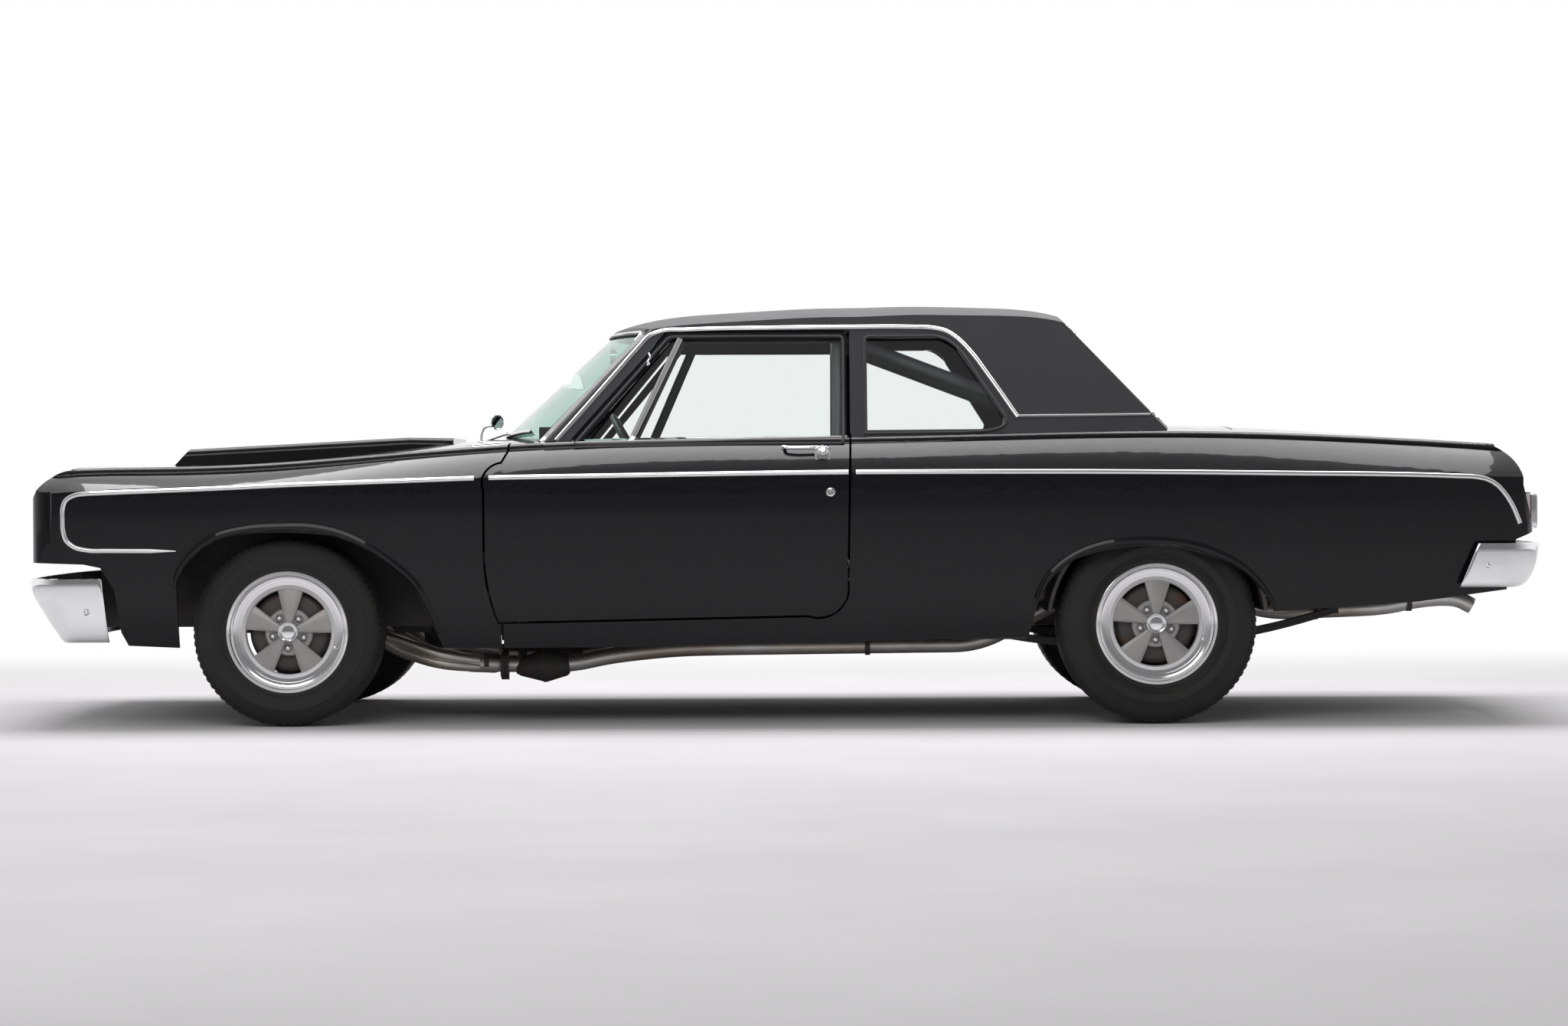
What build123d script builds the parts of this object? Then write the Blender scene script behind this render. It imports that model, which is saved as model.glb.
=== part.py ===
"""Mid-1960s full-size two-door post sedan with a hood scoop and five-spoke wheels.

Frame: +X towards the tail, +Y towards the right side, +Z up, in millimetres.
The origin is on the ground under the middle of the overall length and width.
"""

from build123d import *
from math import cos, radians, sin, sqrt
import os

os.makedirs("parts", exist_ok=True)

# Stance.
FRONT_AXLE_X = -1723
REAR_AXLE_X = 1300
HALF_LENGTH = 2669
FRONT_TRACK = 1520
REAR_TRACK = 1510
FAR = 1500  # reach of a cutting slab past the body on each side

# Panels and gaps.
SKIN = 16  # a pressed panel with its inner stiffening
SHUT_GAP = 8
FRAME_GAP = 12  # rear gap of the door's window frame, which swings out round the pillar
SEAT_GAP = 0.3  # running or seating clearance between two pieces
FIT_GAP = 0.05  # radial clearance of a bearing

# Body sections from nose to tail.
# x, half width at the base, widest half width, its height, crest half width, crest height, centre height
BASE_Z = 230
BODY_SECTIONS = [
    (-2700, 780, 900, 798, 796, 868, 872),
    (-2100, 838, 945, 836, 822, 906, 914),
    (-1500, 852, 957, 852, 838, 938, 956),
    (-1000, 862, 963, 864, 850, 976, 1012),
    (200, 866, 965, 878, 862, 1000, 1032),
    (1100, 862, 962, 878, 850, 1016, 1050),
    (1700, 848, 950, 872, 830, 1010, 1038),
    (2340, 800, 918, 858, 800, 978, 990),
    (2700, 765, 888, 846, 776, 948, 954),
]
CREST_R = 24
SIDE_BULGE = 30  # how far the lower side stands out past a straight line
SHOULDER_BULGE = 9

# Side view of the whole lower body, as runs (x, z) and arcs (x, z, through x, through z).
NOSE_TIP_X = -2638
TAIL_TIP_X = 2606
NOSE_SIDE = [
    (-2480, 1300),
    (-2484, 895),
    (-2592, 815, -2552, 868),
    (NOSE_TIP_X + 20, 575, NOSE_TIP_X, 712),
]
UNDER_SIDE = [
    (-2420, 568),
    (-2362, 556),
    (-2316, 480),
    (-2298, 330),
    (-2275, 284),
    (-2098, 276),
    (-2099, 470),
    (-1940, 664, -2055, 585),
    (-1577, 668, -1760, 677),
    (-1270, 480, -1385, 600),
    (-1176, 272),
    (-511, 274),
    (654, 300),
    (852, 306),
    (880, 415),
    (1020, 578, 930, 515),
    (1500, 575, 1257, 619),
    (1702, 390, 1622, 515),
    (2200, 421),
    (2512, 462),
]
TAIL_FOOT_X = 2440  # where the lower tail's slope would meet the ground
TAIL_SIDE = [
    (2540, 636),
    (TAIL_TIP_X, 664),
    (2564, 825),
    (2484, 958, 2545, 905),
    (2480, 1300),
]
NOSE_BOW = 30  # how far the middle of the nose stands ahead of its corners
NOSE_CORNER_Y = 912
TAIL_CORNER_Y = 905
PLAN_CORNER_R = 72

# Greenhouse outline at two heights.
# z, front corner x, front corner y, front centre x, side y, rear corner x, rear corner y, rear centre x
GREENHOUSE_LOW = (940, -867, 822, -1108, 842, 1422, 796, 1495)
GREENHOUSE_HIGH = (1500, -353, 562, -504, 584, 908, 565, 938)
PILLAR_T = 42
ROOF_T = 26
# Roof skin: x, height at the centre, drop at the rail
ROOF_RAIL_Y = 600
ROOF_SECTIONS = [
    (-760, 1320, 44),
    (-581, 1408, 49),
    (-400, 1449, 51),
    (-200, 1465, 52),
    (0, 1476, 52),
    (300, 1483, 52),
    (600, 1484, 50),
    (850, 1474, 47),
    (1000, 1447, 43),
    (1120, 1396, 40),
    (1300, 1300, 38),
]

# Shut lines: the middle of each gap in the side view.
DOOR_SIDE = [
    (-946, 1100),
    (-951, 957),
    (-972, 915),
    (-1030, 820, -1026, 880),
    (-1030, 599),
    (-984, 360, -1018, 475),
    (90, 380),
    (228, 500, 200, 405),
    (238, 1000),
    (238, 1100),
]
DOOR_INNER_Y = 772
DOOR_FLANGE = 22  # how far the skin laps past the door's inner box
FENDER_FOOT_X = -971
FRAME_T = 22
# Door window frame and its glass opening in the side view.
FRAME_SIDE = [(-765, 950), (-405, 1372), (226, 1372), (226, 950)]
DOOR_GLASS_SIDE = [(-700, 985), (-386, 1350), (206, 1350), (206, 985)]
QUARTER_GLASS_SIDE = [
    (298, 1024),
    (298, 1349),
    (540, 1349),
    (622, 1300, 592, 1340),
    (775, 1066),
    (770, 1040),
    (730, 1030),
    (690, 1026),
]
WINDSHIELD_FRONT = [(-748, 960), (-566, 1372), (566, 1372), (748, 960)]
REAR_WINDOW_FRONT = [(-650, 1068), (-520, 1392), (520, 1392), (650, 1068)]
DIVISION_SIDE = [(-368, 1356), (-350, 1356), (-518, 980), (-536, 980)]
GLASS_T = 5
GLASS_SET = 10  # how far the glass lies inside the outer surface

HOOD_HALF_Y = 752
HOOD_FRONT_X = -2474
HOOD_REAR_X = -1092
SCOOP_T = 8
SCOOP_CORNER_R = 26
TRUNK_HALF_Y = 650
TRUNK_FRONT_X = 1588
TRUNK_REAR_X = 2476

# Grille opening in the nose.
GRILLE_HALF_Y = 842
GRILLE_LOW_Z = 612
GRILLE_HIGH_Z = 800
GRILLE_BACK_X = -2470
GRILLE_BARS = 7

# Cabin opening in the top of the body, and the foot of the windshield pillar.
WELL_FRONT_X = -960
WELL_BOW = 190
WELL_HALF_Y = 768
WELL_REAR_X = 1400
WELL_REAR_BOW = 70
WELL_REAR_HALF_Y = 730
COWL_HALF_Y = 760
PILLAR_FOOT_Y = 722
PILLAR_FOOT_X = -760

BUMPER_CORNER_R = 110
BUMPER_CROWN = 46
BUMPER_T = 6

# Structure under the panels.
FLOOR_Z = 292
SILL_LOW_Z = 296
SILL_HIGH_Z = 354
FLOOR_T = 12
FLOOR_HALF_Y = 762
TRUNK_FLOOR_Z = 490
TUNNEL_HALF_Y = 150
TUNNEL_Z = 488
FIREWALL_X = -1075
APRON_Y = 470  # outer face of the engine bay's side walls
RAIL_W = 60
RAIL_LOW_Z = 335
RAIL_HIGH_Z = 420
WHEELHOUSE_R = 372
WHEELHOUSE_Y = 600

FLOOR_SIDE = [
    (-1075, 600), (-1075 + FLOOR_T, 600), (-900, FLOOR_Z + FLOOR_T), (520, FLOOR_Z + FLOOR_T), (640,
                                                            TRUNK_FLOOR_Z),
    (2478, TRUNK_FLOOR_Z), (2478, TRUNK_FLOOR_Z - FLOOR_T), (647, TRUNK_FLOOR_Z - FLOOR_T), (527, FLOOR_Z),
    (-907, FLOOR_Z), (-1075, 588),
]
BAY_FRONT_X = -2440
APRON_TOP_Z = 846
ENGINE_FRONT_X = -2020
ENGINE_REAR_X = -1290
GEARBOX_REAR_X = -560
SHAFT_Z = 352
PINION_X = 1060
CROSS_HIGH_Z = 268
SPRING_Y = 560
SPRING_W = 62
EXHAUST_R = 31
EXHAUST_BORE_R = 28
EXHAUST_BORE_L = 70
HANGERS = ((-300, -440, 255, 292), (380, -440, 270, 292), (1400, -440, 455, 478), (2200, -470, 425, 478))
GRILLE_FACE_X = -2560
GRILLE_RIM = 16
GRILLE_INNER_Y = 470
LAMP_R = 74
LAMP_RIM = 14
LAMP_Y = (565, 740)
LAMP_Z = 706
TAIL_LAMP_Y = 706
TAIL_LAMP_Z = 735
TAIL_LAMP_W = 190
TAIL_LAMP_H = 120
TAIL_LAMP_X = 2626
STEER_HUB = (-513, -370, 900)
STEER_TILT = 28
STEER_R = 205
STEER_RIM_R = 11
ROLL_X = 200
ROLL_R = 24
ROLL_TOP_Z = 1370
MIRROR_X = -611
MIRROR_Z = 1302

# Wheels: tyre radius, tyre width, track, axle x
FRONT_WHEEL = (329, 245, FRONT_TRACK, FRONT_AXLE_X)
REAR_WHEEL = (347, 270, REAR_TRACK, REAR_AXLE_X)
RIM_FLANGE_R = 208
RIM_SEAT_R = 200
RIM_HALF_W = 96
BARREL_T = 7
HUB_R = 62
SPINDLE_R = 20
SPOKES = 5
LUG_CIRCLE_R = 57.15
SPOKE_NEAR_W = 40
SPOKE_FAR_W = 92
DRUM_R = 140
PLATE_R = 104  # backing plate
KINGPIN_A = -60  # from the wheel's middle plane, towards the car
KNUCKLE_HALF_H = 110


# Control arms of the front wheels: where each starts, its low and high face
ARMS = (
    (APRON_Y - 45, 195, FRONT_WHEEL[0] - KNUCKLE_HALF_H - SEAT_GAP),
    (APRON_Y, FRONT_WHEEL[0] + KNUCKLE_HALF_H + SEAT_GAP, 457),
)


def trace(points):
    """Draws a closed outline: (u, v) is a straight run, (u, v, mu, mv) an arc through mu, mv."""
    here = points[0][:2]
    for point in points[1:] + [points[0][:2]]:
        if len(point) == 2:
            Line(here, point)
        else:
            ThreePointArc(here, point[2:], point[:2])
        here = point[:2]


def side_slab(points, low_y=-FAR, high_y=FAR, grow=0):
    """A side-view outline carried across the car from low_y to high_y."""
    with BuildPart() as slab:
        with BuildSketch(Plane.XZ.offset(-high_y)):
            with BuildLine():
                trace(points)
            make_face()
            if grow:
                offset(amount=grow, mode=Mode.REPLACE)
        extrude(amount=high_y - low_y)
    return slab.part


def front_slab(points, low_x, high_x):
    """A front-view outline carried along the car from low_x to high_x."""
    with BuildPart() as slab:
        with BuildSketch(Plane.YZ.offset(low_x)):
            with BuildLine():
                trace(points)
            make_face()
        extrude(amount=high_x - low_x)
    return slab.part


def block(low, high):
    """A plain block between two corners."""
    with BuildPart() as box:
        with BuildSketch(Plane.XY.offset(low[2])):
            with Locations(((low[0] + high[0]) / 2, (low[1] + high[1]) / 2)):
                Rectangle(high[0] - low[0], high[1] - low[1])
        extrude(amount=high[2] - low[2])
    return box.part


def body_solid(inset):
    """The lower body lofted through its sections, drawn in by the inset."""
    with BuildPart() as body:
        for x, base, wide, wide_z, crest, crest_z, centre_z in BODY_SECTIONS:
            base, wide, crest = base - inset, wide - inset, crest - inset
            crest_z, centre_z = crest_z - inset, centre_z - inset
            bulge_y = (base + wide) / 2 + SIDE_BULGE
            bulge_z = (BASE_Z + wide_z) / 2
            shoulder_y = (wide + crest) / 2 + SHOULDER_BULGE
            shoulder_z = (wide_z + crest_z - CREST_R) / 2
            with BuildSketch(Plane.YZ.offset(x)):
                with BuildLine():
                    Line((-base, BASE_Z), (base, BASE_Z))
                    ThreePointArc((base, BASE_Z), (bulge_y, bulge_z), (wide, wide_z))
                    ThreePointArc((wide, wide_z), (shoulder_y, shoulder_z), (crest, crest_z - CREST_R))
                    ThreePointArc((crest, crest_z - CREST_R), (crest - CREST_R * 0.3,
                                                            crest_z - CREST_R * 0.3),
                                  (crest - CREST_R, crest_z))
                    ThreePointArc((crest - CREST_R, crest_z), (0, centre_z), (CREST_R - crest, crest_z))
                    ThreePointArc((CREST_R - crest, crest_z), (CREST_R * 0.3 - crest,
                                                            crest_z - CREST_R * 0.3),
                                  (-crest, crest_z - CREST_R))
                    ThreePointArc((-crest, crest_z - CREST_R), (-shoulder_y, shoulder_z), (-wide, wide_z))
                    ThreePointArc((-wide, wide_z), (-bulge_y, bulge_z), (-base, BASE_Z))
                make_face()
        loft()
    return body.part


def plan_solid(inset):
    """The body's outline from above, bowed at the nose and rounded at its four corners."""
    nose, tail = NOSE_TIP_X + inset, TAIL_TIP_X - inset
    nose_y, tail_y = NOSE_CORNER_Y - inset, TAIL_CORNER_Y - inset
    nose_r, tail_r = PLAN_CORNER_R - inset / 2, PLAN_CORNER_R - inset / 2
    with BuildPart() as plan:
        with BuildSketch():
            with BuildLine():
                trace([
                    (nose + NOSE_BOW + nose_r, nose_y),
                    (nose + NOSE_BOW, nose_y - nose_r, nose + NOSE_BOW + nose_r * 0.3,
                     nose_y - nose_r * 0.3),
                    (nose + NOSE_BOW, nose_r - nose_y, nose, 0),
                    (nose + NOSE_BOW + nose_r, -nose_y, nose + NOSE_BOW + nose_r * 0.3,
                     nose_r * 0.3 - nose_y),
                    (nose + 600, -FAR),
                    (tail - 600, -FAR),
                    (tail - tail_r, -tail_y),
                    (tail, tail_r - tail_y, tail - tail_r * 0.3, tail_r * 0.3 - tail_y),
                    (tail, tail_y - tail_r),
                    (tail - tail_r, tail_y, tail - tail_r * 0.3, tail_y - tail_r * 0.3),
                    (tail - 600, FAR),
                    (nose + 600, FAR),
                ])
            make_face()
        extrude(amount=FAR)
    return plan.part


def greenhouse_solid(inset, roof_drop):
    """The cabin above the belt: ruled sides between two outlines, closed by the crowned roof."""
    with BuildPart() as house:
        for z, corner_x, corner_y, front_x, side_y, rear_x, rear_y, back_x in (GREENHOUSE_LOW,
                                                            GREENHOUSE_HIGH):
            middle_x = (corner_x + rear_x) / 2
            with BuildSketch(Plane.XY.offset(z)):
                with BuildLine():
                    ThreePointArc((corner_x, -corner_y), (front_x, 0), (corner_x, corner_y))
                    ThreePointArc((corner_x, corner_y), (middle_x, side_y), (rear_x, rear_y))
                    ThreePointArc((rear_x, rear_y), (back_x, 0), (rear_x, -rear_y))
                    ThreePointArc((rear_x, -rear_y), (middle_x, -side_y), (corner_x, -corner_y))
                make_face()
                if inset:
                    offset(amount=-inset, kind=Kind.INTERSECTION, mode=Mode.REPLACE)
        loft(ruled=True)
    with BuildPart() as crown:
        for x, centre_z, drop in ROOF_SECTIONS:
            radius = (ROOF_RAIL_Y ** 2 + drop ** 2) / (2 * drop)
            edge_y = 900
            edge_z = centre_z - radius + sqrt(radius ** 2 - edge_y ** 2)
            with BuildSketch(Plane.YZ.offset(x)):
                with BuildLine():
                    Polyline((-edge_y, edge_z - roof_drop), (-edge_y, 800), (edge_y, 800), (edge_y,
                                                            edge_z - roof_drop))
                    ThreePointArc((edge_y, edge_z - roof_drop), (0, centre_z - roof_drop),
                                  (-edge_y, edge_z - roof_drop))
                make_face()
        loft()
    with BuildPart() as skirt:
        add(block((-1400, -FAR, 800), (1800, FAR, 1200)))
        add(crown.part)
    with BuildPart() as closed:
        add(house.part)
        add(skirt.part, mode=Mode.INTERSECT)
    return closed.part


# The closed bodies that the panels are cut from.
body_outer = body_solid(0)
body_inner = body_solid(SKIN)
side_view = side_slab(NOSE_SIDE + UNDER_SIDE + TAIL_SIDE)
with BuildPart() as body_shell:
    add(body_outer)
    add(side_view, mode=Mode.INTERSECT)
    add(plan_solid(0), mode=Mode.INTERSECT)
    with BuildPart(mode=Mode.PRIVATE) as core:
        add(body_inner)
        add(side_slab(NOSE_SIDE + [(NOSE_TIP_X + 20, 0), (TAIL_FOOT_X, 0)] + TAIL_SIDE, grow=-SKIN),
            mode=Mode.INTERSECT)
        add(plan_solid(SKIN), mode=Mode.INTERSECT)
    add(core.part, mode=Mode.SUBTRACT)
house_outer = greenhouse_solid(0, 0)
house_inner = greenhouse_solid(PILLAR_T, ROOF_T)
with BuildPart() as glass_shell:
    add(greenhouse_solid(GLASS_SET, ROOF_T / 2))
    add(greenhouse_solid(GLASS_SET + GLASS_T, ROOF_T / 2), mode=Mode.SUBTRACT)
door_opening = side_slab(DOOR_SIDE, -FAR, -700, grow=SHUT_GAP / 2)
windshield_slab = front_slab(WINDSHIELD_FRONT, -1300, -300)
rear_window_slab = front_slab(REAR_WINDOW_FRONT, 900, 1600)
grille_hole = block((-2800, -GRILLE_HALF_Y, GRILLE_LOW_Z), (GRILLE_BACK_X, GRILLE_HALF_Y, GRILLE_HIGH_Z))
with BuildPart() as cabin_well:
    with BuildSketch(Plane.XY.offset(850)):
        with BuildLine():
            ThreePointArc((WELL_FRONT_X + WELL_BOW, -WELL_HALF_Y), (WELL_FRONT_X, 0),
                          (WELL_FRONT_X + WELL_BOW, WELL_HALF_Y))
            Line((WELL_FRONT_X + WELL_BOW, WELL_HALF_Y), (WELL_REAR_X - WELL_REAR_BOW, WELL_REAR_HALF_Y))
            ThreePointArc((WELL_REAR_X - WELL_REAR_BOW, WELL_REAR_HALF_Y), (WELL_REAR_X, 0),
                          (WELL_REAR_X - WELL_REAR_BOW, -WELL_REAR_HALF_Y))
            Line((WELL_REAR_X - WELL_REAR_BOW, -WELL_REAR_HALF_Y), (WELL_FRONT_X + WELL_BOW, -WELL_HALF_Y))
        make_face()
    extrude(amount=400)


def write(piece, name):
    """Labels a finished piece and writes its file."""
    piece.part.label = name
    export_step(piece.part, f"parts/{name}.step")


def write_pair(left, name):
    """Writes a left piece and its mirror image on the right."""
    with BuildPart() as right:
        mirror(left.part, about=Plane.XZ)
    write(left, f"{name}_left")
    write(right, f"{name}_right")


# Front fenders: the corner of the nose, the side with its wheel arch, and the crest beside the hood.
with BuildPart() as fender:
    add(body_shell.part)
    add(block((-3000, -FAR, 0), (-940, -HOOD_HALF_Y - SHUT_GAP, 1600)), mode=Mode.INTERSECT)
    add(door_opening, mode=Mode.SUBTRACT)
    add(block((FENDER_FOOT_X - SHUT_GAP / 2, -FAR, 0), (-900, 0, 372)), mode=Mode.SUBTRACT)
    add(grille_hole, mode=Mode.SUBTRACT)
write_pair(fender, "fender")

# Quarter panels with the rocker under the door.
with BuildPart() as quarter:
    add(body_shell.part)
    add(block((FENDER_FOOT_X + SHUT_GAP / 2, -FAR, 0), (3000, -TRUNK_HALF_Y - SHUT_GAP, 1600)),
        mode=Mode.INTERSECT)
    add(door_opening, mode=Mode.SUBTRACT)
    add(block((-1200, -FAR, 500), (0, 0, 1600)), mode=Mode.SUBTRACT)
    add(cabin_well.part, mode=Mode.SUBTRACT)
write_pair(quarter, "quarter")

# Header above the grille and the valance below it.
with BuildPart() as front_panel:
    add(body_shell.part)
    add(block((-3000, -HOOD_HALF_Y - SHUT_GAP, 0), (HOOD_FRONT_X - SHUT_GAP, HOOD_HALF_Y + SHUT_GAP, 1600)),
        mode=Mode.INTERSECT)
    add(grille_hole, mode=Mode.SUBTRACT)
write(front_panel, "front_panel")

with BuildPart() as hood:
    add(body_shell.part)
    add(block((HOOD_FRONT_X, -HOOD_HALF_Y, 700), (HOOD_REAR_X, HOOD_HALF_Y, 1600)), mode=Mode.INTERSECT)
write(hood, "hood")

with BuildPart() as trunk_lid:
    add(body_shell.part)
    add(block((TRUNK_FRONT_X, -TRUNK_HALF_Y, 700), (TRUNK_REAR_X, TRUNK_HALF_Y, 1600)), mode=Mode.INTERSECT)
write(trunk_lid, "trunk_lid")

with BuildPart() as tail_panel:
    add(body_shell.part)
    add(block((TRUNK_REAR_X + SHUT_GAP, -TRUNK_HALF_Y - SHUT_GAP, 0), (3000, TRUNK_HALF_Y + SHUT_GAP,
                                                            1600)),
        mode=Mode.INTERSECT)
write(tail_panel, "tail_panel")

with BuildPart() as rear_deck:
    add(body_shell.part)
    add(block((1000, -TRUNK_HALF_Y - SHUT_GAP, 800), (TRUNK_FRONT_X - SHUT_GAP, TRUNK_HALF_Y + SHUT_GAP,
                                                      1600)),
        mode=Mode.INTERSECT)
    add(cabin_well.part, mode=Mode.SUBTRACT)
write(rear_deck, "rear_deck")

# Cowl in front of the windshield, the firewall and the hinge pillars beside the footwell.
with BuildPart() as cowl:
    add(body_shell.part)
    add(block((HOOD_REAR_X + SHUT_GAP, -COWL_HALF_Y, 850), (WELL_FRONT_X + WELL_BOW, COWL_HALF_Y, 1600)),
        mode=Mode.INTERSECT)
    add(cabin_well.part, mode=Mode.SUBTRACT)
    add(block((FIREWALL_X, -COWL_HALF_Y, 600), (FIREWALL_X + FLOOR_T, COWL_HALF_Y, 970)))
    for side in (-1, 1):
        inner, outer = sorted((side * PILLAR_FOOT_Y, side * COWL_HALF_Y))
        add(block((FIREWALL_X, inner, 612), (PILLAR_FOOT_X, outer, 965)))
write(cowl, "cowl")

# Roof with its pillars, cut for the glass and the door frames.
frame_opening = [(x, z) if x < 0 else (x + FRAME_GAP - SHUT_GAP, z) for x, z in FRAME_SIDE]
with BuildPart() as roof:
    add(house_outer)
    add(house_inner, mode=Mode.SUBTRACT)
    add(block((-2000, -FAR, 0), (2000, FAR, 965)), mode=Mode.SUBTRACT)
    add(side_slab(frame_opening, -FAR, -400, grow=SHUT_GAP), mode=Mode.SUBTRACT)
    add(side_slab(frame_opening, 400, FAR, grow=SHUT_GAP), mode=Mode.SUBTRACT)
    add(side_slab(QUARTER_GLASS_SIDE, -FAR, -400), mode=Mode.SUBTRACT)
    add(side_slab(QUARTER_GLASS_SIDE, 400, FAR), mode=Mode.SUBTRACT)
    add(rear_window_slab, mode=Mode.SUBTRACT)
    for side in (-1, 1):
        inner, outer = sorted((side * PILLAR_FOOT_Y, side * COWL_HALF_Y))
        add(block((PILLAR_FOOT_X - 90, inner, 965), (PILLAR_FOOT_X, outer, 1040)))
        inner, outer = sorted((side * (DOOR_INNER_Y - 8), side * FAR))
        add(side_slab([(-1100, 900), (-1100, 984), (242, 1012), (242, 900)], inner, outer),
            mode=Mode.SUBTRACT)
    add(windshield_slab, mode=Mode.SUBTRACT)
    add(body_outer, mode=Mode.SUBTRACT)
write(roof, "roof")

with BuildPart() as windshield:
    add(glass_shell.part)
    add(windshield_slab, mode=Mode.INTERSECT)
    add(body_outer, mode=Mode.SUBTRACT)
write(windshield, "windshield")

with BuildPart() as rear_window:
    add(glass_shell.part)
    add(rear_window_slab, mode=Mode.INTERSECT)
write(rear_window, "rear_window")

with BuildPart() as quarter_glass:
    add(glass_shell.part)
    add(side_slab(QUARTER_GLASS_SIDE), mode=Mode.INTERSECT)
    add(block((-1000, -400, 0), (2000, 400, 2000)), mode=Mode.SUBTRACT)
write(quarter_glass, "quarter_glass")

# Doors: an inner box, an outer skin that laps past it, and the window frame with its division bar.
with BuildPart() as door:
    add(body_outer)
    add(side_slab(DOOR_SIDE, -FAR, -DOOR_INNER_Y, grow=-SHUT_GAP / 2 - DOOR_FLANGE), mode=Mode.INTERSECT)
    with BuildPart(mode=Mode.PRIVATE) as door_skin:
        add(body_shell.part)
        add(side_slab(DOOR_SIDE, -FAR, -DOOR_INNER_Y, grow=-SHUT_GAP / 2), mode=Mode.INTERSECT)
    add(door_skin.part)
    with BuildPart(mode=Mode.PRIVATE) as window_frame:
        add(house_outer)
        add(greenhouse_solid(FRAME_T, ROOF_T), mode=Mode.SUBTRACT)
        add(side_slab(FRAME_SIDE, -FAR, -400), mode=Mode.INTERSECT)
        add(side_slab(DOOR_GLASS_SIDE), mode=Mode.SUBTRACT)
    add(window_frame.part)
    with BuildPart(mode=Mode.PRIVATE) as division_bar:
        add(house_outer)
        add(greenhouse_solid(FRAME_T, ROOF_T), mode=Mode.SUBTRACT)
        add(side_slab(DIVISION_SIDE, -FAR, -400), mode=Mode.INTERSECT)
    add(division_bar.part)
write_pair(door, "door")

with BuildPart() as door_glass:
    add(glass_shell.part)
    add(side_slab(DOOR_GLASS_SIDE, -FAR, -400), mode=Mode.INTERSECT)
    add(side_slab(DIVISION_SIDE), mode=Mode.SUBTRACT)
    add(body_outer, mode=Mode.SUBTRACT)
write_pair(door_glass, "door_glass")

# Hood scoop: a long box with rounded shoulders, open at its raked front.
# x, half width, top height
SCOOP_SECTIONS = [(-2230, 305, 968), (-1356, 290, 1012), (-1195, 282, 1009)]


def scoop_solid(inset):
    """The scoop's outside, or its hollow when drawn in."""
    with BuildPart() as body:
        for x, half_y, top_z in SCOOP_SECTIONS:
            half_y, top_z = half_y - inset, top_z - inset
            with BuildSketch(Plane.YZ.offset(x)):
                with BuildLine():
                    Line((-half_y, 840), (half_y, 840))
                    Line((half_y, 840), (half_y - 12, top_z - SCOOP_CORNER_R))
                    ThreePointArc((half_y - 12, top_z - SCOOP_CORNER_R),
                                  (half_y - 12 - SCOOP_CORNER_R * 0.3, top_z - SCOOP_CORNER_R * 0.3),
                                  (half_y - 12 - SCOOP_CORNER_R, top_z))
                    Line((half_y - 12 - SCOOP_CORNER_R, top_z), (12 + SCOOP_CORNER_R - half_y, top_z))
                    ThreePointArc((12 + SCOOP_CORNER_R - half_y, top_z),
                                  (12 + SCOOP_CORNER_R * 0.3 - half_y, top_z - SCOOP_CORNER_R * 0.3),
                                  (12 - half_y, top_z - SCOOP_CORNER_R))
                    Line((12 - half_y, top_z - SCOOP_CORNER_R), (-half_y, 840))
                make_face()
        loft(ruled=True)
    return body.part


with BuildPart() as hood_scoop:
    add(scoop_solid(0))
    add(side_slab([(-2203, 914), (-2147, 975), (-2100, 1100), (-1000, 1100), (-1000, 800), (-2203, 800)]),
        mode=Mode.INTERSECT)
    with BuildPart(mode=Mode.PRIVATE) as scoop_hollow:
        add(scoop_solid(SCOOP_T))
        add(block((-3000, -FAR, 0), (-1240, FAR, 2000)), mode=Mode.INTERSECT)
    add(scoop_hollow.part, mode=Mode.SUBTRACT)
    add(body_outer, mode=Mode.SUBTRACT)
write(hood_scoop, "hood_scoop")

# Bumpers: a crowned blade carried along a bowed path that turns the corner.
# end x, corner x, middle x, half width, low z, high z, wall, name
BUMPERS = [
    (-2318, -2578, BUMPER_CROWN - HALF_LENGTH, 905, 296, 520, "front_bumper"),
    (2352, 2582, HALF_LENGTH - BUMPER_CROWN, 924, 470, 622, "rear_bumper"),
]
for end_x, corner_x, middle_x, half_y, low_z, high_z, name in BUMPERS:
    outward = 1 if middle_x > 0 else -1
    middle_z = (low_z + high_z) / 2
    with BuildPart() as bumper:
        with BuildLine() as bumper_path:
            bow = TangentArc((middle_x, 0, middle_z), (corner_x, half_y - BUMPER_CORNER_R, middle_z),
                             tangent=(0, 1, 0))
            turn = TangentArc((corner_x, half_y - BUMPER_CORNER_R, middle_z),
                              (corner_x - outward * BUMPER_CORNER_R, half_y, middle_z), tangent=bow % 1)
            reach = abs(corner_x - outward * BUMPER_CORNER_R - end_x)
            Line(turn @ 1, (turn @ 1) + (turn % 1) * reach)
        with BuildSketch(Plane(origin=(middle_x, 0, middle_z), x_dir=(outward, 0, 0), z_dir=(0, 1, 0))):
            with BuildLine():
                half_h = (high_z - low_z) / 2
                ThreePointArc((0, -half_h), (BUMPER_CROWN, 0), (0, half_h))
                Line((0, half_h), (-BUMPER_T, half_h))
                ThreePointArc((-BUMPER_T, half_h), (BUMPER_CROWN - BUMPER_T, 0), (-BUMPER_T, -half_h))
                Line((-BUMPER_T, -half_h), (0, -half_h))
            make_face()
        sweep(path=bumper_path.wires()[0])
        mirror(about=Plane.XZ)
    write(bumper, name)

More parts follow.
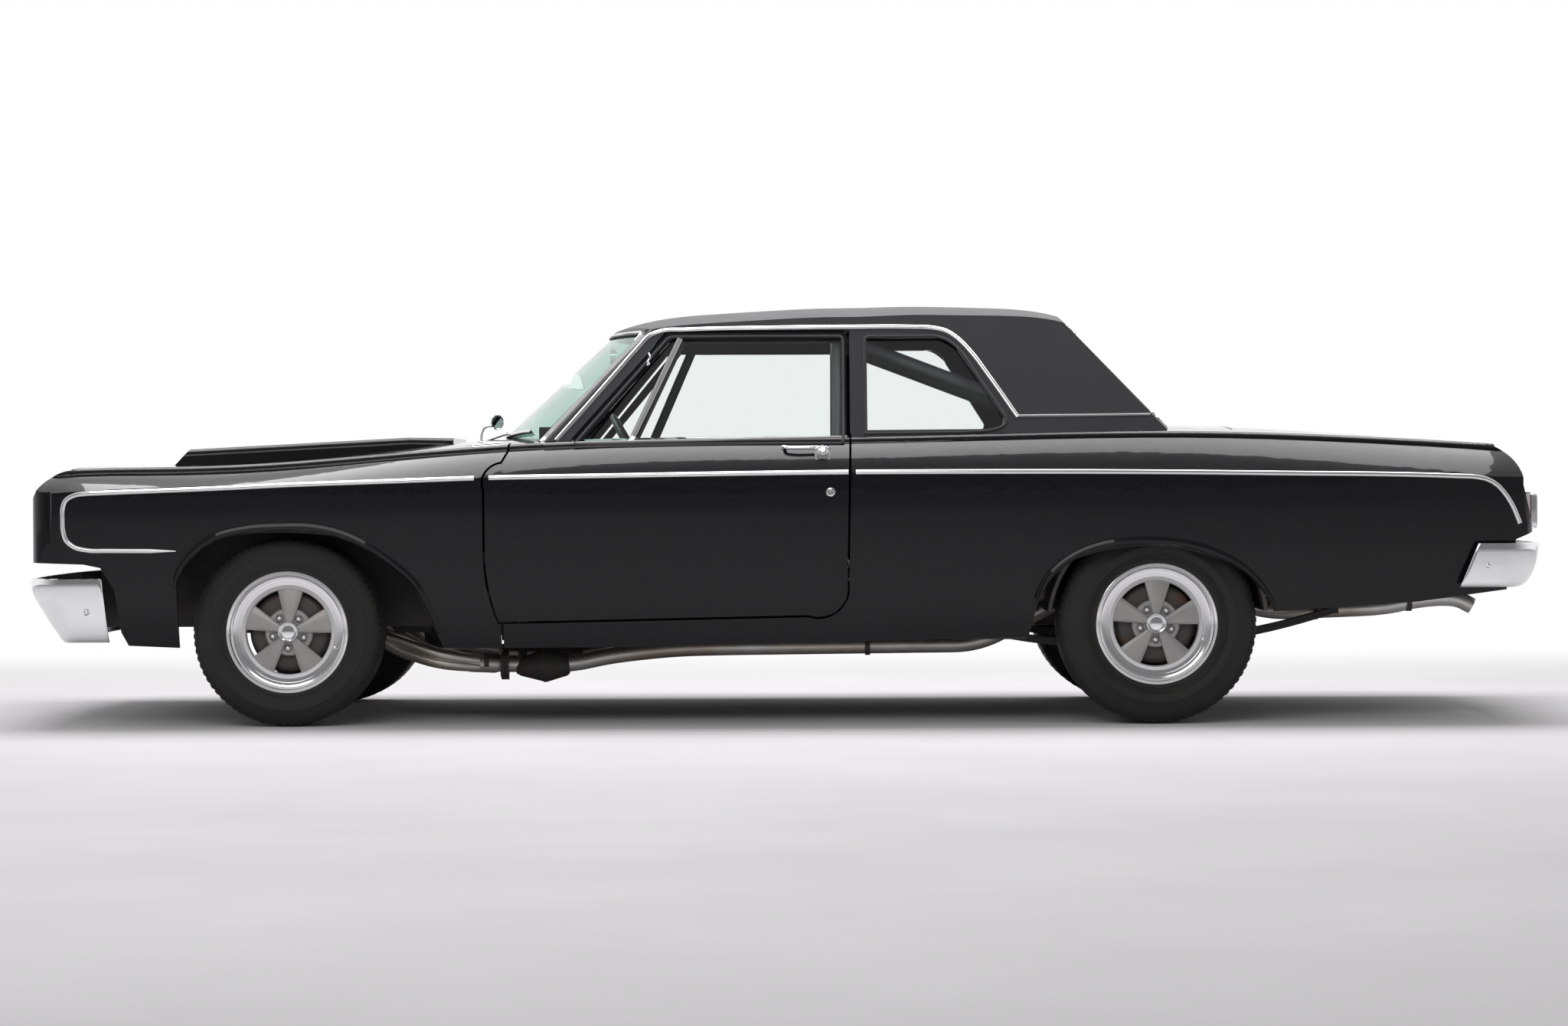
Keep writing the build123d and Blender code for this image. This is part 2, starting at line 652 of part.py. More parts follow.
# Grille: a frame, level bars, a middle post and the round lamp bezels.
with BuildPart() as grille:
    add(block((GRILLE_FACE_X, -GRILLE_HALF_Y, GRILLE_LOW_Z), (GRILLE_FACE_X + 60, GRILLE_HALF_Y,
                                                            GRILLE_HIGH_Z)))
    add(block((GRILLE_FACE_X, -GRILLE_HALF_Y + GRILLE_RIM, GRILLE_LOW_Z + GRILLE_RIM),
              (GRILLE_FACE_X + 50, GRILLE_HALF_Y - GRILLE_RIM,
               GRILLE_HIGH_Z - GRILLE_RIM)), mode=Mode.SUBTRACT)
    add(block((GRILLE_FACE_X, -GRILLE_INNER_Y, GRILLE_LOW_Z + GRILLE_RIM),
              (GRILLE_FACE_X + 60, GRILLE_INNER_Y, GRILLE_HIGH_Z - GRILLE_RIM)), mode=Mode.SUBTRACT)
    bar_pitch = (GRILLE_HIGH_Z - GRILLE_LOW_Z - 2 * GRILLE_RIM) / (GRILLE_BARS + 1)
    for bar in range(GRILLE_BARS):
        z = GRILLE_LOW_Z + GRILLE_RIM + bar_pitch * (bar + 1)
        add(block((GRILLE_FACE_X + 14, -GRILLE_INNER_Y, z - 3), (GRILLE_FACE_X + 44, GRILLE_INNER_Y,
                                                            z + 3)))
    add(block((GRILLE_FACE_X + 4, -9, GRILLE_LOW_Z + GRILLE_RIM), (GRILLE_FACE_X + 50, 9,
                                                            GRILLE_HIGH_Z - GRILLE_RIM)))
    with BuildSketch(Plane.YZ.offset(GRILLE_FACE_X - 6)):
        with Locations(*[(side * y, LAMP_Z) for side in (-1, 1) for y in LAMP_Y]):
            Circle(LAMP_R + LAMP_RIM)
    extrude(amount=60)
    with BuildSketch(Plane.YZ.offset(GRILLE_FACE_X - 6)):
        with Locations(*[(side * y, LAMP_Z) for side in (-1, 1) for y in LAMP_Y]):
            Circle(LAMP_R)
    extrude(amount=40, mode=Mode.SUBTRACT)
write(grille, "grille")

# Headlamps: a domed lens in each bezel.
with BuildPart() as headlamps:
    for side in (-1, 1):
        for y in LAMP_Y:
            with BuildSketch(Plane(origin=(GRILLE_FACE_X, side * y, LAMP_Z), x_dir=(1, 0, 0), z_dir=(0,
                                                            -1, 0))):
                with BuildLine():
                    trace([(34, 0), (34, LAMP_R - SEAT_GAP), (10, LAMP_R - SEAT_GAP), (0, 8, 3,
                                                            LAMP_R * 0.55), (0, 0)])
                make_face()
            revolve(axis=Axis((GRILLE_FACE_X, side * y, LAMP_Z), (1, 0, 0)))
write(headlamps, "headlamps")

# Tail lamps: rounded blocks standing on the tail panel's corners.
with BuildPart() as tail_lamps:
    for side in (-1, 1):
        with BuildSketch(Plane.YZ.offset(2500)):
            with Locations((side * TAIL_LAMP_Y, TAIL_LAMP_Z)):
                RectangleRounded(TAIL_LAMP_W, TAIL_LAMP_H, 18)
        extrude(amount=TAIL_LAMP_X - 2500)
    add(side_view, mode=Mode.SUBTRACT)
write(tail_lamps, "tail_lamps")

# Floor: toe board, tunnel, kick-up over the axle, boot floor, sills and rear wheelhouses.
with BuildPart() as floor_pan:
    with BuildSketch(Plane.XZ.offset(-FLOOR_HALF_Y)):
        with BuildLine():
            trace(FLOOR_SIDE)
        make_face()
    extrude(amount=2 * FLOOR_HALF_Y)
    for side in (-1, 1):
        inner, outer = sorted((side * (WHEELHOUSE_Y - FLOOR_T), side * FAR))
        with BuildSketch(Plane.XZ.offset(-outer)):
            with Locations((REAR_AXLE_X, REAR_WHEEL[0])):
                Circle(WHEELHOUSE_R)
        extrude(amount=outer - inner, mode=Mode.SUBTRACT)
    with BuildPart(mode=Mode.PRIVATE) as tunnel:
        add(block((FIREWALL_X, -TUNNEL_HALF_Y, FLOOR_Z), (640, TUNNEL_HALF_Y, TUNNEL_Z)))
        fillet(tunnel.edges().filter_by(Axis.X).group_by(Axis.Z)[-1], radius=70)
    add(tunnel.part)
    with BuildPart(mode=Mode.PRIVATE) as tunnel_hollow:
        add(block((FIREWALL_X - 200, FLOOR_T - TUNNEL_HALF_Y, 0), (700, TUNNEL_HALF_Y - FLOOR_T,
                                                            TUNNEL_Z - FLOOR_T)))
        fillet(tunnel_hollow.edges().filter_by(Axis.X).group_by(Axis.Z)[-1], radius=60)
    add(tunnel_hollow.part, mode=Mode.SUBTRACT)
    with BuildPart(mode=Mode.PRIVATE) as wheelhouses:
        for side in (-1, 1):
            inner, outer = sorted((side * (WHEELHOUSE_Y - FLOOR_T), side * FAR))
            with BuildSketch(Plane.XZ.offset(-outer)):
                with Locations((REAR_AXLE_X, REAR_WHEEL[0])):
                    Circle(WHEELHOUSE_R + FLOOR_T)
            extrude(amount=outer - inner)
            inner, outer = sorted((side * WHEELHOUSE_Y, side * FAR))
            with BuildSketch(Plane.XZ.offset(-outer)):
                with Locations((REAR_AXLE_X, REAR_WHEEL[0])):
                    Circle(WHEELHOUSE_R)
            extrude(amount=outer - inner, mode=Mode.SUBTRACT)
        add(block((0, -FAR, 0), (3000, FAR, FLOOR_Z + 100)), mode=Mode.SUBTRACT)
        add(body_inner, mode=Mode.INTERSECT)
    add(wheelhouses.part)
    with BuildPart(mode=Mode.PRIVATE) as sills:
        for side in (-1, 1):
            inner, outer = sorted((side * (FLOOR_HALF_Y - 2), side * FAR))
            add(block((FENDER_FOOT_X + 10, inner, SILL_LOW_Z), (845, outer, SILL_HIGH_Z)))
        add(body_inner, mode=Mode.INTERSECT)
    add(sills.part)
write(floor_pan, "floor_pan")

# Engine bay: side walls on the front rails, shelves to the fenders and the radiator support.
with BuildPart() as engine_bay:
    for side in (-1, 1):
        inner, outer = sorted((side * (APRON_Y - FLOOR_T), side * APRON_Y))
        add(block((BAY_FRONT_X, inner, RAIL_LOW_Z), (FIREWALL_X, outer, APRON_TOP_Z)))
        inner, outer = sorted((side * (APRON_Y - RAIL_W), side * APRON_Y))
        add(block((BAY_FRONT_X, inner, RAIL_LOW_Z), (FIREWALL_X, outer, RAIL_HIGH_Z)))
        with BuildPart(mode=Mode.PRIVATE) as shelf:
            inner, outer = sorted((side * APRON_Y, side * FAR))
            add(block((BAY_FRONT_X, inner, APRON_TOP_Z - FLOOR_T), (FIREWALL_X, outer, APRON_TOP_Z)))
            add(body_inner, mode=Mode.INTERSECT)
        add(shelf.part)
        inner, outer = sorted((side * (APRON_Y - RAIL_W), side * (APRON_Y - 10)))
        add(block((-2590, inner, 375), (BAY_FRONT_X, outer, 405)))
    add(block((BAY_FRONT_X, -APRON_Y, 380), (BAY_FRONT_X + FLOOR_T, APRON_Y, 860)))
    add(block((BAY_FRONT_X, -340, 440), (BAY_FRONT_X + FLOOR_T, 340, 820)), mode=Mode.SUBTRACT)
write(engine_bay, "engine_bay")

with BuildPart() as radiator:
    add(block((BAY_FRONT_X + FLOOR_T + SEAT_GAP, -360, 420), (BAY_FRONT_X + FLOOR_T + 60, 360, 830)))
write(radiator, "radiator")

# Engine with its gearbox: one plain mass with the rocker covers' slant and the sump.
with BuildPart() as engine:
    with BuildSketch(Plane.YZ.offset(ENGINE_FRONT_X)):
        with BuildLine():
            trace([(-150, 300), (-190, 480), (-330, 640), (-250, 760), (-110, 700), (-90, 830), (90, 830),
                   (110, 700),
                   (250, 760), (330, 640), (190, 480), (150, 300)])
        make_face()
    extrude(amount=ENGINE_REAR_X - ENGINE_FRONT_X)
    with BuildSketch(Plane.XY.offset(800)):
        with Locations(((ENGINE_FRONT_X + ENGINE_REAR_X) / 2, 0)):
            Circle(85)
    extrude(amount=50)
    with BuildSketch(Plane.XY.offset(845)):
        with Locations(((ENGINE_FRONT_X + ENGINE_REAR_X) / 2, 0)):
            Circle(170)
    extrude(amount=50)
    with BuildSketch(Plane(origin=(ENGINE_REAR_X - 30, 0, SHAFT_Z), x_dir=(1, 0, 0), z_dir=(0, -1, 0))):
        with BuildLine():
            trace([(0, 0), (0, 118), (120, 118), (380, 70), (GEARBOX_REAR_X - ENGINE_REAR_X + 30, 58),
                   (GEARBOX_REAR_X - ENGINE_REAR_X + 30, 0)])
        make_face()
    revolve(axis=Axis((0, 0, SHAFT_Z), (1, 0, 0)))
    for side in (-1, 1):
        inner, outer = sorted((side * 120, side * 330))
        add(block((FRONT_AXLE_X + 70, inner, CROSS_HIGH_Z + SEAT_GAP), (FRONT_AXLE_X + 130, outer, 360)))
write(engine, "engine")

with BuildPart() as driveshaft:
    with BuildSketch(Plane.YZ.offset(GEARBOX_REAR_X + SEAT_GAP)):
        with Locations((0, SHAFT_Z)):
            Circle(38)
    extrude(amount=PINION_X - GEARBOX_REAR_X - 2 * SEAT_GAP)
write(driveshaft, "driveshaft")

# Front crossmember with the control arms that hold the knuckles.
with BuildPart() as front_crossmember:
    add(block((FRONT_AXLE_X - 70, -APRON_Y + 40, 215), (FRONT_AXLE_X + 140, APRON_Y - 40, CROSS_HIGH_Z)))
    for side in (-1, 1):
        inner, outer = sorted((side * (APRON_Y - RAIL_W), side * (APRON_Y - 20)))
        add(block((FRONT_AXLE_X - 70, inner, CROSS_HIGH_Z), (FRONT_AXLE_X + 140, outer, RAIL_LOW_Z)))
        kingpin_y = side * (FRONT_TRACK / 2 + KINGPIN_A)
        for root_y, low_z, high_z in ARMS:
            inner, outer = sorted((side * root_y, kingpin_y - side * 13))
            add(block((FRONT_AXLE_X - 28, inner, low_z), (FRONT_AXLE_X + 28, outer, high_z)))
            with BuildSketch(Plane.XY.offset(low_z)):
                with Locations((FRONT_AXLE_X, kingpin_y)):
                    Circle(15)
            extrude(amount=high_z - low_z)
write(front_crossmember, "front_crossmember")

# Rear axle: the tube, the differential, backing plates and spindles.
with BuildPart() as rear_axle:
    axle_z = REAR_WHEEL[0]
    with BuildSketch(Plane.XZ.offset(-REAR_TRACK / 2 + 50)):
        with Locations((REAR_AXLE_X, axle_z)):
            Circle(38)
    extrude(amount=REAR_TRACK - 100)
    with BuildSketch(Plane.XZ.offset(-REAR_TRACK / 2 - 55)):
        with Locations((REAR_AXLE_X, axle_z)):
            Circle(SPINDLE_R)
    extrude(amount=REAR_TRACK + 110)
    for side in (-1, 1):
        low_y = min(side * (REAR_TRACK / 2 - 50), side * (REAR_TRACK / 2 - 44))
        with BuildSketch(Plane.XZ.offset(-low_y - 6)):
            with Locations((REAR_AXLE_X, axle_z)):
                Circle(PLATE_R)
        extrude(amount=6)
    with BuildSketch(Plane.XZ.offset(90)):
        with Locations((REAR_AXLE_X, axle_z)):
            Circle(118)
    extrude(amount=-180)
    with BuildSketch(Plane.YZ.offset(PINION_X)):
        with Locations((0, SHAFT_Z)):
            Circle(50)
    extrude(amount=REAR_AXLE_X - PINION_X)
write(rear_axle, "rear_axle")

# Leaf springs: a pack bent under the axle, clamped to it and hung from the floor.
with BuildPart() as leaf_springs:
    for side in (-1, 1):
        low_y = side * SPRING_Y - SPRING_W / 2
        with BuildSketch(Plane.XZ.offset(-low_y - SPRING_W)):
            with BuildLine():
                ThreePointArc((645, 318), (REAR_AXLE_X, 252), (1950, 372))
                Line((1950, 372), (1950, 396))
                ThreePointArc((1950, 396), (REAR_AXLE_X, 280), (645, 342))
                Line((645, 342), (645, 318))
            make_face()
        extrude(amount=SPRING_W)
        add(block((REAR_AXLE_X - 60, low_y, 268), (REAR_AXLE_X + 60, low_y + SPRING_W, axle_z)))
        add(block((652, low_y, 325), (690, low_y + SPRING_W, TRUNK_FLOOR_Z - FLOOR_T)))
        add(block((1930, low_y, 372), (1965, low_y + SPRING_W, TRUNK_FLOOR_Z - FLOOR_T)))
    add(rear_axle.part, mode=Mode.SUBTRACT)
    add(floor_pan.part, mode=Mode.SUBTRACT)
write(leaf_springs, "leaf_springs")

with BuildPart() as fuel_tank:
    add(block((1985, -320, 330), (2400, 320, TRUNK_FLOOR_Z - FLOOR_T - SEAT_GAP)))
    fillet(fuel_tank.edges().filter_by(Axis.Y).group_by(Axis.Z)[0], radius=50)
write(fuel_tank, "fuel_tank")

# Exhausts: a pipe from the engine's side, a muffler, the run over the axle and a turned-down end.
# x, y, z of each bend on the left side
EXHAUST_PATH = [
    (-1560, -190, 505), (-1540, -320, 440), (-1420, -385, 250), (-1090, -440, 214), (-760, -440,
                                                            232), (-200, -440, 248), (700, -440, 262),
    (1010, -440, 430), (1600, -440, 430), (1960, -470, 402), (2330, -470, 408), (2440, -470, 372),
]
with BuildPart() as exhaust:
    with BuildLine():
        FilletPolyline(*EXHAUST_PATH, radius=60)
    with BuildSketch(Plane(origin=EXHAUST_PATH[0],
                           z_dir=Vector(*EXHAUST_PATH[1]) - Vector(*EXHAUST_PATH[0]))):
        Circle(EXHAUST_R)
    sweep()
    with BuildSketch(Plane.YZ.offset(-930)):
        with Locations((-440, 233)):
            Ellipse(80, 34)
    with BuildSketch(Plane.YZ.offset(-420)):
        with Locations((-440, 245)):
            Ellipse(80, 34)
    loft()
    for x, y, low_z, high_z in HANGERS:
        add(block((x, y - 8, low_z), (x + 20, y + 8, high_z)))
    with BuildSketch(Plane(origin=EXHAUST_PATH[-1],
                           z_dir=Vector(*EXHAUST_PATH[-2]) - Vector(*EXHAUST_PATH[-1]))):
        Circle(EXHAUST_BORE_R)
    extrude(amount=EXHAUST_BORE_L, mode=Mode.SUBTRACT)
    mirror(about=Plane.XZ)
    add(engine.part, mode=Mode.SUBTRACT)
write(exhaust, "exhaust")

# Instrument panel across the cabin.
with BuildPart() as dashboard:
    add(side_slab([(-985, 930), (-760, 962, -880, 958), (-728, 930, -735, 955), (-752, 800, -748, 850),
                   (-860, 735),
                   (-985, 800)], -PILLAR_FOOT_Y, PILLAR_FOOT_Y))
write(dashboard, "dashboard")

# Steering column and wheel, tilted towards the driver.
tilt = radians(STEER_TILT)
steer_axis = Vector(cos(tilt), 0, sin(tilt))
hub = Vector(*STEER_HUB)
with BuildPart() as steering_column:
    with BuildSketch(Plane(origin=hub - steer_axis * 34, x_dir=(0, 1, 0), z_dir=-steer_axis)):
        Circle(24)
    extrude(amount=230)
    add(dashboard.part, mode=Mode.SUBTRACT)
write(steering_column, "steering_column")

with BuildPart() as steering_wheel:
    wheel_plane = Plane(origin=hub, x_dir=(0, 1, 0), z_dir=steer_axis)
    with BuildSketch(Plane(origin=hub, x_dir=(0, 1, 0), z_dir=wheel_plane.y_dir)):
        with Locations((STEER_R, 0)):
            Circle(STEER_RIM_R)
    revolve(axis=Axis(hub, steer_axis))
    with BuildSketch(wheel_plane.offset(-34 + SEAT_GAP)):
        Circle(34)
    extrude(amount=40)
    with BuildSketch(wheel_plane.offset(-12)):
        for turn in (-12, 192, 270):
            with Locations(Location((0, 0, 0), turn)):
                with Locations((STEER_R / 2, 0)):
                    Rectangle(STEER_R, 26)
    extrude(amount=8)
write(steering_wheel, "steering_wheel")

# Seats: benches with rounded edges.
with BuildPart() as front_seat:
    add(side_slab([(-390, 400), (-420, 560, -425, 480), (-330, 610, -395, 605), (20, 590), (100, 900, 72,
                                                            720),
                   (168, 900, 134, 935), (110, 400)], -640, 640))
    add(block((-330, -560, FLOOR_Z + FLOOR_T), (60, 560, 400)))
    add(block((-500, -TUNNEL_HALF_Y - 6, 0), (300, TUNNEL_HALF_Y + 6, TUNNEL_Z + 6)), mode=Mode.SUBTRACT)
write(front_seat, "front_seat")

with BuildPart() as rear_seat:
    add(side_slab([(650, TRUNK_FLOOR_Z + SEAT_GAP), (632, 600), (690, 650, 650, 648), (900, 640), (1010,
                                                            940),
                   (1075, 960, 1036, 968), (1080, TRUNK_FLOOR_Z + SEAT_GAP)], -580, 580))
write(rear_seat, "rear_seat")

with BuildPart() as parcel_shelf:
    add(side_slab([(1081, TRUNK_FLOOR_Z + SEAT_GAP), (1081, 985), (1386, 1000), (1386, 990), (1091, 974),
                   (1091, TRUNK_FLOOR_Z + SEAT_GAP)], -584, 584))
    add(block((1000, -FAR, 0), (1700, -584, 960)), mode=Mode.SUBTRACT)
write(parcel_shelf, "parcel_shelf")

# Roll bar: a hoop behind the front seat and two stays down to the shelf.
with BuildPart() as roll_bar:
    with BuildLine():
        FilletPolyline((ROLL_X, -690, FLOOR_Z + FLOOR_T + 0.7), (ROLL_X, -700, 900), (ROLL_X, -560,
                                                            ROLL_TOP_Z),
                       (ROLL_X, 560, ROLL_TOP_Z), (ROLL_X, 700, 900), (ROLL_X, 690,
                                                            FLOOR_Z + FLOOR_T + 0.7), radius=90)
    with BuildSketch(Plane(origin=(ROLL_X, -690, FLOOR_Z + FLOOR_T + 0.7), z_dir=(0, -10, 595.3))):
        Circle(ROLL_R)
    sweep()
    for side in (-1, 1):
        foot = Vector(1180, side * 440, 992)
        head = Vector(ROLL_X, side * 470, ROLL_TOP_Z - 6)
        with BuildSketch(Plane(origin=head, z_dir=foot - head)):
            Circle(ROLL_R * 0.9)
        extrude(amount=(foot - head).length)
    add(parcel_shelf.part, mode=Mode.SUBTRACT)
    add(side_slab([(1000, 600), (1000, 970), (1386, 996), (1500, 600)]), mode=Mode.SUBTRACT)
write(roll_bar, "roll_bar")

with BuildPart() as mirror_inside:
    with BuildSketch(Plane.YZ.offset(MIRROR_X)):
        with Locations((0, MIRROR_Z)):
            RectangleRounded(230, 56, 20)
    extrude(amount=-22)
    with BuildSketch(Plane(origin=(MIRROR_X - 10, 0, MIRROR_Z), z_dir=(-0.25, 0, 1))):
        Circle(6)
    extrude(amount=200)
    add(house_inner, mode=Mode.INTERSECT)
write(mirror_inside, "mirror_inside")

# Wheels. side is -1 on the left and 1 on the right; a is measured from the wheel's middle plane, outwards.
for corner, side, (tyre_r, tyre_w, track, axle_x) in (
    ("fl", -1, FRONT_WHEEL), ("fr", 1, FRONT_WHEEL), ("rl", -1, REAR_WHEEL), ("rr", 1, REAR_WHEEL),
):
    centre = (axle_x, side * track / 2, tyre_r)
    section = Plane(origin=centre, x_dir=(0, 0, 1), z_dir=(-side, 0, 0))
    face = Plane(origin=centre, x_dir=(-side, 0, 0), z_dir=(0, side, 0))
    axle = Axis(centre, (0, 1, 0))
    half_w, tread_w = tyre_w / 2, tyre_w / 2 - 18
    wall = 12
    with BuildPart() as tyre:
        with BuildSketch(section):
            with BuildLine():
                Line((RIM_SEAT_R + SEAT_GAP, -RIM_HALF_W + 10), (RIM_FLANGE_R + SEAT_GAP, -RIM_HALF_W + 3))
                Line((RIM_FLANGE_R + SEAT_GAP, -RIM_HALF_W + 3), (RIM_FLANGE_R + SEAT_GAP + 4,
                                                            -RIM_HALF_W - 3))
                ThreePointArc((RIM_FLANGE_R + SEAT_GAP + 4, -RIM_HALF_W - 3),
                              ((RIM_FLANGE_R + tyre_r) / 2, -half_w),
                              (tyre_r - 16, -tread_w - 6))
                ThreePointArc((tyre_r - 16, -tread_w - 6), (tyre_r - 8, -tread_w + 1), (tyre_r - 4,
                                                            -tread_w + 14))
                ThreePointArc((tyre_r - 4, -tread_w + 14), (tyre_r, 0), (tyre_r - 4, tread_w - 14))
                ThreePointArc((tyre_r - 4, tread_w - 14), (tyre_r - 8, tread_w - 1), (tyre_r - 16,
                                                            tread_w + 6))
                ThreePointArc((tyre_r - 16, tread_w + 6), ((RIM_FLANGE_R + tyre_r) / 2, half_w),
                              (RIM_FLANGE_R + SEAT_GAP + 4, RIM_HALF_W + 3))
                Line((RIM_FLANGE_R + SEAT_GAP + 4, RIM_HALF_W + 3), (RIM_FLANGE_R + SEAT_GAP,
                                                            RIM_HALF_W - 3))
                Line((RIM_FLANGE_R + SEAT_GAP, RIM_HALF_W - 3), (RIM_SEAT_R + SEAT_GAP, RIM_HALF_W - 10))
                Line((RIM_SEAT_R + SEAT_GAP, RIM_HALF_W - 10), (RIM_SEAT_R + SEAT_GAP, RIM_HALF_W - 28))
                ThreePointArc((RIM_SEAT_R + SEAT_GAP, RIM_HALF_W - 28), ((RIM_FLANGE_R + tyre_r) / 2,
                                                            half_w - wall),
                              (tyre_r - 18, tread_w - 14))
                Line((tyre_r - 18, tread_w - 14), (tyre_r - 18, 14 - tread_w))
                ThreePointArc((tyre_r - 18, 14 - tread_w), ((RIM_FLANGE_R + tyre_r) / 2, wall - half_w),
                              (RIM_SEAT_R + SEAT_GAP, 28 - RIM_HALF_W))
                Line((RIM_SEAT_R + SEAT_GAP, 28 - RIM_HALF_W), (RIM_SEAT_R + SEAT_GAP, -RIM_HALF_W + 10))
            make_face()
        revolve(axis=axle)
    write(tyre, f"tyre_{corner}")

    with BuildPart() as rim:
        with BuildSketch(section):
            with BuildLine():
                Polyline((RIM_FLANGE_R, -RIM_HALF_W - 2), (RIM_FLANGE_R, -RIM_HALF_W + 2), (RIM_SEAT_R,
                                                            -RIM_HALF_W + 9),
                         (RIM_SEAT_R, -45), (RIM_SEAT_R - 16, -30), (RIM_SEAT_R - 16, 20), (RIM_SEAT_R, 35),
                         (RIM_SEAT_R, RIM_HALF_W - 9), (RIM_FLANGE_R, RIM_HALF_W - 2), (RIM_FLANGE_R,
                                                            RIM_HALF_W + 2),
                         (RIM_FLANGE_R - 9, RIM_HALF_W), (RIM_SEAT_R - 12, RIM_HALF_W - 14),
                         (RIM_SEAT_R - 20, RIM_HALF_W - 20), (RIM_SEAT_R - 26, 48), (RIM_SEAT_R - 26, 24),
                         (RIM_SEAT_R - 16 - BARREL_T, 14), (RIM_SEAT_R - 16 - BARREL_T, -26),
                         (RIM_SEAT_R - BARREL_T, -41), (RIM_SEAT_R - BARREL_T, -RIM_HALF_W + 3),
                         (RIM_FLANGE_R, -RIM_HALF_W - 2))
            make_face()
        revolve(axis=axle)
        with BuildSketch(section):
            with BuildLine():
                Polyline((SPINDLE_R + FIT_GAP, -10), (HUB_R, -10), (HUB_R, 25), (DRUM_R - 8, 25),
                         (DRUM_R - 8, -38),
                         (DRUM_R, -38), (DRUM_R, 33), (HUB_R + 10, 33), (HUB_R + 10, 52), (HUB_R, 60),
                         (32, 62), (30, 76), (0, 80), (0, 66), (SPINDLE_R + FIT_GAP,
                                                            60), (SPINDLE_R + FIT_GAP, -10))
            make_face()
        revolve(axis=axle)
        with BuildSketch(face.offset(36)):
            for spoke in range(SPOKES):
                with BuildLine():
                    near, far = HUB_R, RIM_SEAT_R - 22
                    half_near, half_far = SPOKE_NEAR_W / 2, SPOKE_FAR_W / 2
                    turn = 90 + spoke * 360 / SPOKES
                    corners = [(near, -half_near), (far, -half_far), (far, half_far), (near, half_near)]
                    trace([(u * cos(radians(turn)) - v * sin(radians(turn)),
                            u * sin(radians(turn)) + v * cos(radians(turn)))
                           for u, v in corners])
                make_face()
        extrude(amount=20)
        with BuildSketch(face.offset(50)):
            with PolarLocations(LUG_CIRCLE_R, SPOKES, start_angle=90 + 180 / SPOKES):
                RegularPolygon(11, 6)
        extrude(amount=22)
    write(rim, f"rim_{corner}")

    if tyre_r == FRONT_WHEEL[0]:
        with BuildPart() as knuckle:
            with BuildSketch(face.offset(KINGPIN_A)):
                Circle(SPINDLE_R)
            extrude(amount=55 - KINGPIN_A)
            with BuildSketch(face.offset(-50)):
                Circle(PLATE_R)
            extrude(amount=6)
            add(block((axle_x - 22, min(side * (track / 2 - 75), side * (track / 2 - 48)),
                       tyre_r - KNUCKLE_HALF_H),
                      (axle_x + 22, max(side * (track / 2 - 75), side * (track / 2 - 48)),
                       tyre_r + KNUCKLE_HALF_H)))
        write(knuckle, f"knuckle_{corner}")
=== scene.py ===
"""The looks of a black two-door muscle car: its finishes, its trim and the fine pieces on its solids."""

import math

import bmesh
import bpy
import numpy as np
from mathutils import Matrix


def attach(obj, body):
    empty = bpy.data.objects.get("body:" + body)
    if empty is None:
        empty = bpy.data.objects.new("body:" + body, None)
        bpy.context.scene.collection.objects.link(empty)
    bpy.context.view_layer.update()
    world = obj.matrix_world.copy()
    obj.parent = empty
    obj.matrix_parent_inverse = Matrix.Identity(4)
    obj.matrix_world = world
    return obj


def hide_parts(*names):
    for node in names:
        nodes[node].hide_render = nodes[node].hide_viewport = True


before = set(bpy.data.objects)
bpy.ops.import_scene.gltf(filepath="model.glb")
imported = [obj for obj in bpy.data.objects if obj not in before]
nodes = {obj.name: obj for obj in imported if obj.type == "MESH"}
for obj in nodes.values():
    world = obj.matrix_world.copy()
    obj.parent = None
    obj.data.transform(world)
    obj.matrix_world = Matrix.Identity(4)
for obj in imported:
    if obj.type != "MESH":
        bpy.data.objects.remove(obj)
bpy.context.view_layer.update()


# Shader nodes
class Wire:
    """One socket of a finish. Sums written on wires add the Math nodes that work them out."""

    def __init__(self, tree, socket):
        self.tree = tree
        self.socket = socket

    def math(self, operation, first, second):
        return self.tree.node("Math", {"operation": operation}, {0: first, 1: second})

    def __add__(self, other):
        return self.math("ADD", self, other)

    def __radd__(self, other):
        return self.math("ADD", other, self)

    def __rsub__(self, other):
        return self.math("SUBTRACT", other, self)

    def __mul__(self, other):
        return self.math("MULTIPLY", self, other)

    def above(self, edge, width):
        """0 below the edge and 1 above it, blended over the width."""
        return self.tree.node("MapRange", {"interpolation_type": "SMOOTHSTEP"},
                              {"Value": self, "From Min": edge - width / 2, "From Max": edge + width / 2})


